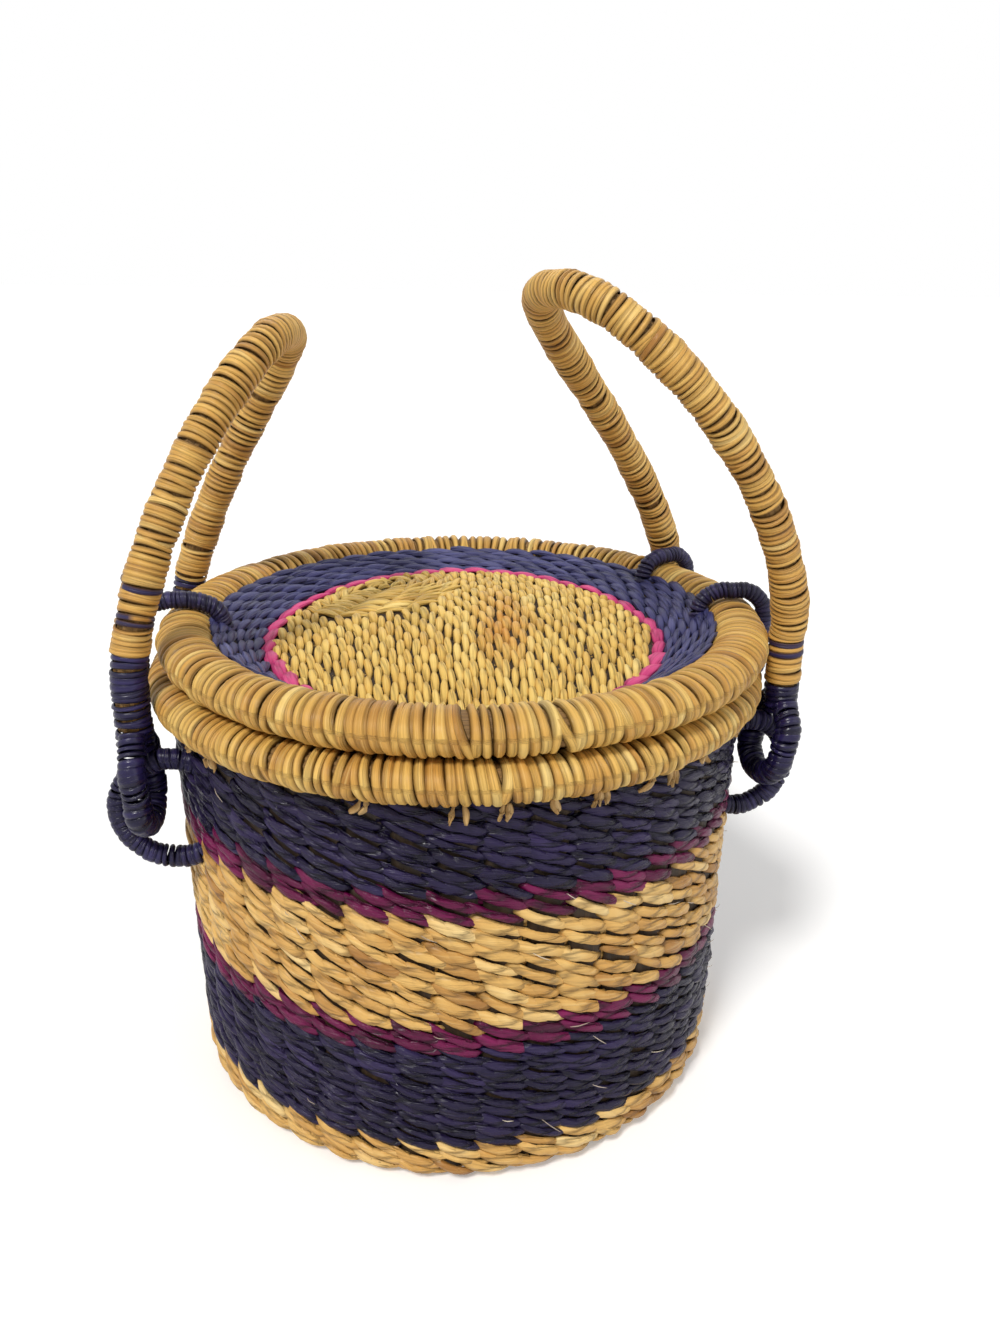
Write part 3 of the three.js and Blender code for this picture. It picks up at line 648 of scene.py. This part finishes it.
# Lid: a dished plate of undyed straw, then one pink row, then navy rows that climb to the
# rim. Its middle is woven in columns from front to back round an older twined spot. Its
# underside, twined in rings, shows when the lid is open.
lid_shift = 3.6
lid_rim_radius = 133.8
lid_rim_height = 222.3
lid_natural_radius = 92.8
lid_pink_radius = 98.8
lid_seam_radius = 121.2
lid_drop = 1.6          # of the plate without crown, climb and sag, under the rim's middle
lid_crown = 5.0
lid_climb = 7.2
lid_sag = 5.5
lid_front_sag = 6.3
lid_low_front = 3.6
lid_strand_depth = 2.9
lid_sink = 1.3
column_width = 4.1
stitch_pitch = 15.5
column_fan = 540        # distance at which the columns of the middle would meet
shortest_stitch = 5.5
plate_strand_depths = {1: 1.7, -1: 4.4}     # of the strands' middle on either side, under the upper face
old_spot = (-46, 62)
old_spot_size = (44, 54)
spot_pitch = 4.15
lid_stitch = strand_stretch(8, [0.30, 0.86, 1.0, 1.0, 0.92, 0.66, 0.26], [0.6, 0.95, 1.0, 1.0, 0.95, 0.8, 0.5])


def plate_height(x, y):
    """Height of the plate's upper face: a low crown, a sag at the pink ring that is deepest in front, and a climb
    to the rim."""
    radius = np.maximum(np.hypot(x, y), 0.01)
    crown = lid_crown * np.cos(np.minimum(radius / lid_natural_radius, 1) * math.pi / 2)
    climb = np.maximum((radius - lid_pink_radius) / (lid_seam_radius - lid_pink_radius), 0)
    low_front = lid_low_front * np.clip(-y / radius, 0, 1) ** 6 * climb
    inner_sag = lid_sag * (radius / lid_pink_radius) ** 2 - lid_front_sag * y / lid_pink_radius
    outer_sag = np.clip(1 - climb, 0, 1) * (lid_sag - lid_front_sag * y / radius)
    return (lid_rim_height - lid_drop + crown + lid_climb * climb - low_front
            - np.where(radius < lid_pink_radius, inner_sag, outer_sag))


def lay_on_plate(name, stretch, stitches, side):
    """Copies of a stretch on the plate: side 1 on its upper face, side -1 under it."""
    x, y, z = stretch[0].T
    middle_x, middle_y, heading, length, width, slant, bulge, tone = np.array(stitches).T[:, :, None]
    along = x * length
    across = y * width - slant * np.sin(math.pi * x)
    place_x = middle_x + along * np.cos(heading) - across * np.sin(heading)
    place_y = middle_y + along * np.sin(heading) + across * np.cos(heading)
    height = (plate_height(place_x, place_y) - plate_strand_depths[side]
              + side * (z * lid_strand_depth + arched(x, bulge, lid_sink)))
    laid = np.stack([place_x + lid_shift, place_y, height], axis=-1)
    return copies(name, laid, stretch, side, length.ravel(), tone.ravel())


def stitch_at(x, y, heading, length, width, slant):
    """One stitch with the small differences that hand work has."""
    a, b, c, d, e, f, g = dice.normal(0, 1, 7)
    return (x + 0.25 * a, y + 0.5 * b, heading + 0.03 * c, length * (1 + 0.06 * d), width * (1 + 0.07 * e),
            width * (slant + 0.06 * f), 2.3 + 0.25 * a, min(max(0.5 + 0.12 * g, 0), 1))


def ring_stitches(inner, outer, rows, count_at, length, slant):
    """Rows round the middle, every second one half a stitch on."""
    made = []
    pitch = (outer - inner) / rows
    for row in range(rows):
        radius = inner + (row + 0.5) * pitch
        count = count_at(radius)
        for i in range(count):
            angle = (i + 0.5 * (row % 2)) / count * full_turn
            made.append(stitch_at(radius * math.cos(angle), radius * math.sin(angle), angle + math.pi / 2,
                                  full_turn * radius / count * length, pitch * 1.04, slant))
    return made


def clipped(x, y, heading, length, width, slant):
    """A list of the stitch, cut short where it would cross into the pink ring. It is empty where little is left."""
    step_x, step_y = math.cos(heading), math.sin(heading)
    middle = x * step_x + y * step_y
    room = (lid_natural_radius + 0.6) ** 2 - (x * x + y * y - middle * middle)
    if room <= 0:
        return []
    low, high = max(-middle - math.sqrt(room), -length / 2), min(-middle + math.sqrt(room), length / 2)
    if high - low < shortest_stitch:
        return []
    share = (low + high) / 2
    return [stitch_at(x + step_x * share, y + step_y * share, heading, high - low, width, slant)]


def in_old_spot(x, y):
    return math.hypot((x - old_spot[0]) / old_spot_size[0], (y - old_spot[1]) / old_spot_size[1]) < 1


centre_stitches = []
for column in range(-26, 27):
    for place in range(-7, 8):
        y = (place + 0.5 * (column % 2)) * stitch_pitch + 2.2 * math.sin(0.19 * column)
        spread = 1 + y / column_fan
        x = column * column_width * spread + 0.7 * math.sin(y / 17 + column * 0.11)
        if not in_old_spot(x, y):
            centre_stitches += clipped(x, y, math.pi / 2 - column * column_width / column_fan, stitch_pitch * 1.2,
                                       column_width * spread * 1.03, -0.12)
for ring in range(1, 14):
    radius = ring * spot_pitch
    count = max(int(round(full_turn * radius / 17)), 3)
    for i in range(count):
        angle = (i + 0.5 * (ring % 2)) / count * full_turn
        x, y = old_spot[0] + radius * math.cos(angle), old_spot[1] + radius * math.sin(angle)
        if in_old_spot(x, y):
            centre_stitches += clipped(x, y, angle + math.pi / 2, min(23.0, radius * 1.5), 4.3, 0.5)

lid_straw = straw_material("undyed straw of the lid",
                           [(0.58, 0.31, 0.06), (0.82, 0.52, 0.12), (0.92, 0.64, 0.18), (0.97, 0.78, 0.32)], 0.5,
                           bump=0.6, gloss=0.35, painted_crease_shade=0.4,
                           stains=[((22, -8, 222), (18, 58, 30), (0.80, 0.55, 0.36), 1.0),
                                   ((-19, 28, 222), (11, 50, 30), (0.60, 0.58, 0.46), 1.0),
                                   ((-42, -6, 222), (46, 12, 30), (0.88, 0.84, 0.70), 0.7)])
lid_navy = straw_material("navy straw of the lid",
                          [(0.018, 0.018, 0.066), (0.046, 0.046, 0.15), (0.115, 0.12, 0.30)], 0.40,
                          wear=(0.45, 0.42, 0.42), wear_from=0.74, bump=0.7, gloss=0.32, painted_crease_shade=0.5)
pink_straw = straw_material("pink straw", [(0.42, 0.022, 0.12), (0.66, 0.05, 0.21), (0.80, 0.12, 0.30)], 0.45,
                            bump=0.5, gloss=0.35, painted_crease_shade=0.35)
under_stitches = {band: ring_stitches(inner, outer, rows, base_stakes, 1.5, 0.4) for band, inner, outer, rows in (
    ("lid_centre_disc", 1.5, lid_natural_radius, 19), ("lid_pink_ring", lid_natural_radius, lid_pink_radius, 1),
    ("lid_navy_ring", lid_pink_radius, 122.0, 5))}
plate_bands = [
    ("lid_centre_disc", centre_stitches, lid_straw, "straw"),
    ("lid_pink_ring", ring_stitches(92.6, 99.0, 1, lambda radius: 42, 1.45, 0.22), pink_straw, "pink_straw"),
    ("lid_navy_ring", ring_stitches(99.0, 122.4, 6, lambda radius: 46, 1.5, 0.34), lid_navy, "faded_navy_straw"),
]
for band, stitches, material, slot in plate_bands:
    over = lay_on_plate(band + "_top", lid_stitch, stitches, 1)
    under = lay_on_plate(band + "_underside", inner_stitch, under_stitches[band], -1)
    for piece in (over, under):
        set_material(piece, material)
        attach(piece, "lid")
        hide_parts(band)

# Lid stakes: the ribs inside the plate, stalks that lie side by side from the navel to
# the rim. They show only in the slots between the stitches, where their near-black straw is painted shade.
rib_count = 2 * stake_count
rib_sides = 4 * rib_count
rib_turn = np.arange(rib_sides) / rib_sides * full_turn
rib_steps = 17          # from the navel to the rim
rib_radii = np.linspace(2.0, 122.5, rib_steps)
rib_layers = []
for radii, depth, side in ((rib_radii, 3.8, -1), (rib_radii[::-1], 2.6, 1)):
    rib_x, rib_y = radii[:, None] * np.cos(rib_turn), radii[:, None] * np.sin(rib_turn)
    height = plate_height(rib_x, rib_y) - depth + 0.3 * side * np.cos(rib_turn * rib_count)
    rib_layers.append(np.stack([rib_x + lid_shift, rib_y, height], axis=-1).reshape(-1, 3))
rib_points = np.concatenate(rib_layers)
rib_faces = tube_faces(2 * rib_steps, rib_sides)
rib_uvs = [(min(i // rib_sides, 2 * rib_steps - 1 - i // rib_sides) * 0.08, i % rib_sides / 4)
           for face in rib_faces for i in face]
lid_stakes = mesh_piece("lid_stakes", rib_points, rib_faces, rib_uvs, plain_marks(len(rib_points), 0.3, 0.2))
set_material(lid_stakes, stake_straw_painted_shade)
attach(lid_stakes, "lid")

# Lid rim: a fatter bundle of stalks than the basket's own, round the edge of the plate, and
# wound turn beside turn with broader flat straw.
lid_rim_half_width = 12.6
lid_rim = winding("lid_rim_winding", rim_path(lid_rim_radius, lid_rim_height, 10.7, 7.8, lid_shift), pitch=4.0,
                  width=1.18, thickness=1.8, lean=0.4, steps=30, lift=0.45, wander=0.34, taper=0.16,
                  width_spread=0.13)
set_material(lid_rim, rim_straw)
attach(lid_rim, "lid")
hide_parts("lid_rim_wrap")
lid_bundle = bundle("lid_rim_bundle", rim_path(lid_rim_radius, lid_rim_height, 10.5, 7.6, lid_shift, 145),
                    rim_stalks, rim_furrow, True)
set_material(lid_bundle, bundle_straw_painted_shade)
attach(lid_bundle, "lid")
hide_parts("lid_rim_core")

# Tying loops: cords wound with thin navy straw. Two go through the lid's plate, over both
# rims and back through the wall. The third closes the lid.
loop_radius = 4.3
cord_core = loop_radius - 0.9
bore_gap = 0.4          # round a cord in its hole
seat_gap = 0.35         # between a cord and what it lies on
lid_wrap_height = 9.7   # of the wound rim over its middle
loop_hole_drop = 1.6    # of the holes under the top of the wall
rim_outer = 149.1       # of the wound basket rim
lid_outer = 146.4       # of the wound lid rim
loop_corner = 13.0
loop_out = lid_outer + lid_shift + seat_gap + loop_radius
loop_in = lid_rim_radius + lid_shift - lid_rim_half_width - bore_gap - loop_radius
loop_top = lid_rim_height + lid_wrap_height + seat_gap + loop_radius
loop_low = wall_height - loop_hole_drop - bore_gap - loop_radius
upward = np.array([0, 0, 1])
cord_turns = dict(pitch=2.3, width=1.2, thickness=0.75, lean=0.1, steps=14, lift=0.25, wander=0.12)
loop_straw = straw_material("thin navy straw of the cords",
                            [(0.008, 0.006, 0.028), (0.018, 0.014, 0.06), (0.042, 0.034, 0.12)], 0.34,
                            wear=(0.50, 0.44, 0.34), wear_from=0.64, across=4.0, along=2.2, bump=0.5, creases=1.0,
                            twist=0.6, painted_crease_shade=0.3, gloss=0.3)


def directions(azimuth):
    """Outwards at an azimuth, and sideways from there."""
    turn = math.radians(azimuth)
    return np.array([math.cos(turn), math.sin(turn), 0]), np.array([-math.sin(turn), math.cos(turn), 0])


for loop_name, azimuth in (("hinge_loop_front", 2), ("hinge_loop_rear", 32)):
    out, across = directions(azimuth)
    half_out, half_up = (loop_out - loop_in) / 2 - loop_corner, (loop_top - loop_low) / 2 - loop_corner
    flat = []
    for quarter, (sign_out, sign_up) in enumerate([(1, 1), (-1, 1), (-1, -1), (1, -1)]):
        for angle in (quarter + np.arange(13) / 12) * math.pi / 2:
            distance = (loop_in + loop_out) / 2 + sign_out * half_out + loop_corner * math.cos(angle)
            height = (loop_low + loop_top) / 2 + sign_up * half_up + loop_corner * math.sin(angle)
            flat.append(distance * out + height * upward)
    loop = winding(loop_name + "_winding", path_frame(evenly(np.array(flat + flat[:1]), 241), across, cord_core),
                   **cord_turns)
    set_material(loop, loop_straw)
    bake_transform(loop)
    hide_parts(loop_name)

closure_out, closure_across = directions(186)
closure_in = lid_rim_radius + lid_shift * closure_out[0] - lid_rim_half_width - bore_gap - loop_radius
closure_end = rim_outer + bore_gap + loop_radius
closure_line = [(closure_in, lid_rim_height - 16), (closure_in, lid_rim_height - 6), (closure_in, loop_top - 13),
                (closure_in + 4.5, loop_top - 3.8), (closure_in + 15, loop_top),
                ((closure_in + closure_end) / 2, loop_top), (closure_end - 14, loop_top),
                (closure_end - 4, loop_top - 4), (closure_end, loop_top - 14), (closure_end, 212),
                (closure_end, 196.5)]
closure_path = smooth_path([distance * closure_out + height * upward for distance, height in closure_line], 161)
closure = winding("closure_loop_winding", path_frame(closure_path, closure_across, cord_core), **cord_turns)
set_material(closure, loop_straw)
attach(closure, "lid")
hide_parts("closure_loop")

# Rings: four cords wound with navy straw. Each goes through the wall and through a handle's
# eye, is closed on itself, and turns freely in its hole.
ring_core = 4.1
# low is the height of a handle's feet, bar how far out its bars lie, and ring the middle, height and radius of its
# rings. dyed are the navy stretches of its winding, from its start or, where negative, from its end.
handles = [
    dict(name="left", azimuth=182.4, half_span=63, low=149.5, bar=142.877, ring=(131.126, 154.979, 24.915), eye=44,
         sleeve=229, reach=158.15, rise=208.5, lean_rise=18.5, lean=0.23, curl=294, skew=0, twist=975, square=2.63,
         dyed=[(-32, -28.6), (-17.4, -13.6)]),
    dict(name="right", azimuth=14, half_span=69, low=156.5, bar=135.605, ring=(125.581, 161.174, 23.01), eye=38,
         sleeve=202, reach=159.05, rise=221.5, lean_rise=31.5, lean=0.325, curl=190, skew=-0.21, twist=-610,
         square=2.59, dyed=[(13.5, 16.8), (18.6, 21.4), (-32, -29)]),
]


def foot_name(handle, side):
    """The name of the foot on one side of a handle: 1 is round from X towards Y."""
    return "rear" if (side == 1) == (handle["name"] == "right") else "front"


for handle in handles:
    out, across = directions(handle["azimuth"])
    middle, height, radius = handle["ring"]
    for side in (-1, 1):
        angle = np.linspace(0, full_turn, 181)[:, None] + math.pi
        centres = (middle * out + side * handle["half_span"] * across + height * upward
                   + radius * (np.cos(angle) * out + np.sin(angle) * upward))
        foot = foot_name(handle, side)
        ring = winding(f"{handle['name']}_{foot}_ring_winding", path_frame(centres, across, ring_core),
                       pitch=3.0, width=1.2, thickness=0.8, lean=0.1, steps=14, lift=0.3, wander=0.15)
        set_material(ring, loop_straw)
        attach(ring, f"{handle['name']}_rings")
        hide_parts(f"{handle['name']}_{foot}_ring")

# Handles: a bundle of stalks bent to an arch and wound with thin flat straw. Near each foot
# the winding turns navy, and the bundle parts into an eye that hangs on its ring.
eye_heights = [1, 0.88, 0.7, 0.42, 0.2, 0.035, 0, 0.035, 0.2, 0.42, 0.7, 0.88, 1]
eye_widths = [-0.3, -0.56, -1, -1.03, -1, -0.52, 0, 0.52, 1, 1.03, 1, 0.56, 0.3]
eye_half_gap = 13.4
grip_core = 7.4
bare_core = 6.6         # of the bundle itself, under the winding
sleeve_core = 7.2
eye_core = 5.2
eye_turns = dict(pitch=3.1, width=1.22, thickness=0.9, steps=16, lift=0.3, wander=0.32)
handle_straw = straw_material("thin straw of the handles",
                              [(0.42, 0.19, 0.04), (0.67, 0.36, 0.08), (0.80, 0.48, 0.12), (0.92, 0.64, 0.23)],
                              0.43, across=6.0, along=1.2, bump=0.5, dye=(0.022, 0.016, 0.07), creases=1.0,
                              twist=0.5, painted_crease_shade=0.3, gloss=0.35, painted_edge_shade=0.9)
eye_straw = straw_material("fat navy straw of the eyes",
                           [(0.006, 0.0045, 0.022), (0.013, 0.009, 0.050), (0.034, 0.025, 0.125)], 0.28,
                           wear=(0.46, 0.38, 0.28), wear_from=0.68, across=3.0, along=2.0, bump=0.4, creases=1.0,
                           twist=0.5, painted_crease_shade=0.25, gloss=0.34)


def arch_points(handle):
    """The middle line of a handle from foot to foot: a squarish arch that leans in, skews and twists."""
    out, across = directions(handle["azimuth"])
    low, bar = handle["low"], handle["bar"]
    seat = math.sqrt(handle["reach"] ** 2 - handle["half_span"] ** 2)
    power = 2 / handle["square"]
    points = []
    for turn in np.linspace(0, math.pi, 361):
        along = -np.sign(math.cos(turn)) * abs(math.cos(turn)) ** power * handle["half_span"]
        rise = abs(math.sin(turn)) ** power * handle["rise"]
        above = max(low + rise - wall_height - handle["lean_rise"], 0)
        lean = handle["lean"] * above ** 2 / (above + 14) + above ** 2 / (2 * handle["curl"])
        climb = min(rise / (wall_height - low), 1)
        distance = bar + (seat - bar) * climb * (2 - climb) - lean + along * above / handle["twist"]
        points.append(distance * out + (along + handle["skew"] * above) * across + (low + rise) * upward)
    return evenly(np.array(points), 601)


def cut_path(centres, height):
    """The part of an arch over a height."""
    half = len(centres) // 2
    first = int(np.argmax(centres[:half, 2] > height))
    last = len(centres) - int(np.argmax(centres[::-1][:half, 2] > height))
    return centres[first:last]


for handle in handles:
    name = handle["name"]
    out, across = directions(handle["azimuth"])
    arch = arch_points(handle)
    wound = cut_path(arch, handle["sleeve"])
    lumps = 1 + 0.035 * np.sin(np.linspace(0, 23, len(wound))) + 0.035 * np.sin(np.linspace(2, 71, len(wound)))
    path = path_frame(wound, out, grip_core * lumps)
    grip = winding(name + "_handle_winding", path, pitch=2.6, width=1.24, thickness=0.85, lean=0.9, steps=18,
                   lift=0.35, wander=0.42, taper=0.14, width_spread=0.14,
                   dyed=[(low % path[0][-1], top % path[0][-1]) for low, top in handle["dyed"]])
    set_material(grip, handle_straw)
    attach(grip, name + "_handle")
    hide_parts(name + "_handle_wrap")
    core_line = cut_path(arch, handle["low"] + handle["eye"] + bore_gap)[::3]
    core = bundle(name + "_handle_bundle", path_frame(core_line, out, bare_core), stalks=8,
                  furrow_depth=0.12, closed=False)
    set_material(core, bundle_straw_painted_shade)
    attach(core, name + "_handle")
    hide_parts(name + "_handle_core")
    for side in (-1, 1):
        foot = foot_name(handle, side)
        leg = arch[::-side]
        eye_top = leg[int(np.argmax(leg[:, 2] > handle["low"] + handle["eye"]))]
        along = (eye_top - leg[0]) / np.linalg.norm(eye_top - leg[0])
        eye_line = [leg[0] + along * handle["eye"] * high + across * eye_half_gap * wide
                    for high, wide in zip(eye_heights, eye_widths)]
        eye = winding(f"{name}_{foot}_eye_winding",
                      path_frame(smooth_path(eye_line, 241), np.cross(along, across), eye_core), lean=0.3,
                      **eye_turns)
        lower_leg = leg[:len(leg) // 2]
        lower_leg = lower_leg[(lower_leg[:, 2] > handle["low"] + 0.78 * handle["eye"])
                              & (lower_leg[:, 2] < handle["sleeve"] + 0.6)]
        sleeve = winding(f"{name}_{foot}_eye_sleeve_winding", path_frame(lower_leg, out, sleeve_core), lean=0.4,
                         **eye_turns)
        for piece in (eye, sleeve):
            set_material(piece, eye_straw)
            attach(piece, name + "_handle")
            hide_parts(f"{name}_{foot}_eye")


# Loose ends: the stake ends that were folded under the basket's rim stick out as small tufts,
# here and there a frayed fibre stands off the weave, and slack straws lie on the lid in front.
def loose_ends(name, lines, half_width, half_depth, samples=9):
    """Thin flat straws along lines of points, one mesh for all of them. They narrow towards their ends."""
    sides = 6
    turn = np.arange(sides) / sides * full_turn
    share = np.sin(np.linspace(0.35, math.pi - 0.25, samples)) ** 0.6
    straw_faces = tube_faces(samples, sides)
    points, faces, tones, kinds = [], [], [], []
    for line in lines:
        table = path_frame(smooth_path(line, samples), (0.3, 0.2, 1), half_width * share, half_depth * share)[1]
        faces += [tuple(samples * sides * len(points) + i for i in face) for face in straw_faces]
        points.append(round_path(table[:, None], turn).reshape(-1, 3))
        tones += [float(dice.uniform(0.15, 0.95))] * samples * sides
        kinds += [float(dice.random())] * samples * sides
    uvs = [((i // sides % samples) * 0.01, i % sides / sides) for face in faces for i in face]
    return mesh_piece(name, np.concatenate(points), faces, uvs,
                      {"tone": tones, "kind": kinds, "edge": np.zeros(len(tones))})


def wall_point(azimuth, height, off, along=0.0):
    """A point off the wall by so much, and so far along it."""
    radius, z, normal_radius, _ = on_profile(outer_profile, place_at_height(outer_profile, height))
    distance = radius + normal_radius * off
    turned = azimuth + along / distance
    return distance * math.cos(turned), distance * math.sin(turned), z


tuft_root = 194.8
tuft_bend = 192.4
tuft_hang = 191.0
tuft_lines = []
for stake in range(stake_count):
    azimuth = (stake + 0.55 + 0.12 * dice.normal()) / stake_count * full_turn
    reach = dice.uniform(1.0, 4.2)
    if dice.random() < 0.3:
        continue
    lean = dice.normal(0, 2.0)
    for straw in range(int(dice.integers(3, 6))):
        aside = dice.uniform(-3.2, 3.2)
        drop = reach * dice.uniform(0.6, 1.1)
        tuft_lines.append([wall_point(azimuth, tuft_root, 4.2, aside * 0.7),
                           wall_point(azimuth, tuft_bend - 0.2 * drop, 4.6, aside),
                           wall_point(azimuth, tuft_hang + 0.5 - 0.6 * drop, 4.4 + 0.2 * drop,
                                      aside * 1.1 + lean * 0.5),
                           wall_point(azimuth, tuft_hang - drop, 3.4 + dice.uniform(0, 3.0), aside * 1.2 + lean)])
tufts = loose_ends("stake_end_tufts", tuft_lines, 1.35, 0.55)
set_material(tufts, straw_material("straw of the stake ends",
                                   [(0.30, 0.16, 0.05), (0.52, 0.31, 0.11), (0.70, 0.48, 0.22)], 0.55, bump=0.5,
                                   painted_crease_shade=0.5, gloss=0.3))
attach(tufts, "basket")

fibre_lines = []
for _ in range(60):
    azimuth = dice.uniform(0, full_turn)
    height = dice.uniform(28, 188)
    length = dice.uniform(2.5, 9)
    climb = dice.normal(-0.35, 0.3)
    stand = dice.uniform(0.6, 2.6)
    fibre_lines.append([wall_point(azimuth, height, 2.6),
                        wall_point(azimuth, height + 0.4 * climb * length, 3.4 + 0.4 * stand, 0.4 * length),
                        wall_point(azimuth, height + climb * length, 3.2 + stand, length)])
fibres = loose_ends("frayed_fibres", fibre_lines, 0.2, 0.12)
set_material(fibres, straw_material("bare fibres", [(0.35, 0.27, 0.20), (0.55, 0.45, 0.36), (0.75, 0.66, 0.52)],
                                    0.5, bump=0.2, painted_crease_shade=0.2, gloss=0.4))
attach(fibres, "basket")

slack_lines = [[(x + share * width + lid_shift, y + 1.6 * math.sin(share * 7 + x),
                 float(plate_height(x + share * width, y)) + rise * math.sin(share * math.pi) + 0.4)
                for share in (0, 0.25, 0.5, 0.75, 1)]
               for x, width, y, rise in ((-20, 30, -112.5, 1.6), (-8, 34, -114.5, 2.6), (6, 26, -111.5, 1.2),
                                         (-34, 24, -113.5, 1.8), (24, 22, -110.5, 1.4))]
slack = loose_ends("slack_straws_in_front_of_the_rim", slack_lines, 1.3, 0.6, samples=17)
set_material(slack, lid_straw)
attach(slack, "lid")

# Camera, light and floor: a pale studio with soft light from the upper left, and the camera
# at the height and distance of the photograph's.
bpy.ops.object.camera_add()
camera = bpy.context.object
bpy.context.scene.camera = camera
camera_place = Vector((0, -0.49442, 0.38527))
forward = Vector((0.03980537, 0.93418627, -0.35455824))
right = Vector((0.99920719, -0.03747383, 0.01344285))
camera.matrix_world = (Matrix.Translation(camera_place)
                       @ Matrix((right, right.cross(forward), -forward)).transposed().to_4x4())
camera.data.lens = 28.257
camera.data.sensor_width = 36
camera.data.clip_start = 0.01


def add_sun(name, strength, softness, direction, colour=(1, 1, 1)):
    bpy.ops.object.light_add(type="SUN", location=(0, 0, 2))
    sun = bpy.context.object
    sun.name = name
    sun.data.energy = strength
    sun.data.angle = math.radians(softness)
    sun.data.color = colour
    sun.rotation_euler = Vector(direction).to_track_quat("-Z", "Y").to_euler()


add_sun("key_light", 2.25, 12, (0.35, 0.60, -0.95), (1.0, 0.985, 0.96))
add_sun("fill_light", 0.5, 50, (-0.75, 0.45, -0.45))
add_sun("back_light", 0.35, 40, (0.1, -0.8, -0.7))

world = bpy.data.worlds.new("pale studio")
bpy.context.scene.world = world
world.use_nodes = True
sky = world.node_tree
background = sky.nodes["Background"]
background.inputs["Color"].default_value = (1, 1, 1, 1)
background.inputs["Strength"].default_value = 0.33
rays = sky.nodes.new("ShaderNodeLightPath").outputs
seen = maths(sky, "MAXIMUM", maths(sky, "MAXIMUM", rays["Is Camera Ray"], rays["Is Glossy Ray"]),
             rays["Is Transmission Ray"])
white = add_node(sky, "Background", 0, {"Color": (1, 1, 1, 1), "Strength": 1.0})
sky.links.new(add_node(sky, "MixShader", 0, {0: seen, 1: background.outputs[0], 2: white}),
              sky.nodes["World Output"].inputs["Surface"])

bpy.ops.mesh.primitive_plane_add(size=40, location=(0, 0, -0.0005))
floor = bpy.context.object
floor.name = "floor"
bpy.ops.object.transform_apply(location=True, rotation=True, scale=True)
floor_paint = bpy.data.materials.new("white floor")
floor_paint.use_nodes = True
paint = floor_paint.node_tree
floor_shader = paint.nodes["Principled BSDF"]
floor_shader.inputs["Base Color"].default_value = (0.9, 0.9, 0.9, 1)
floor_shader.inputs["Roughness"].default_value = 0.9
floor_shader.inputs["Specular IOR Level"].default_value = 0.0
camera_ray = add_node(paint, "LightPath", "Is Camera Ray", {})
glow = add_node(paint, "Emission", 0, {"Strength": product(paint, camera_ray, 0.22)})
paint.links.new(add_node(paint, "AddShader", 0, {0: floor_shader.outputs[0], 1: glow}),
                paint.nodes["Material Output"].inputs["Surface"])
set_material(floor, floor_paint)
bpy.context.scene.view_settings.view_transform = "Standard"
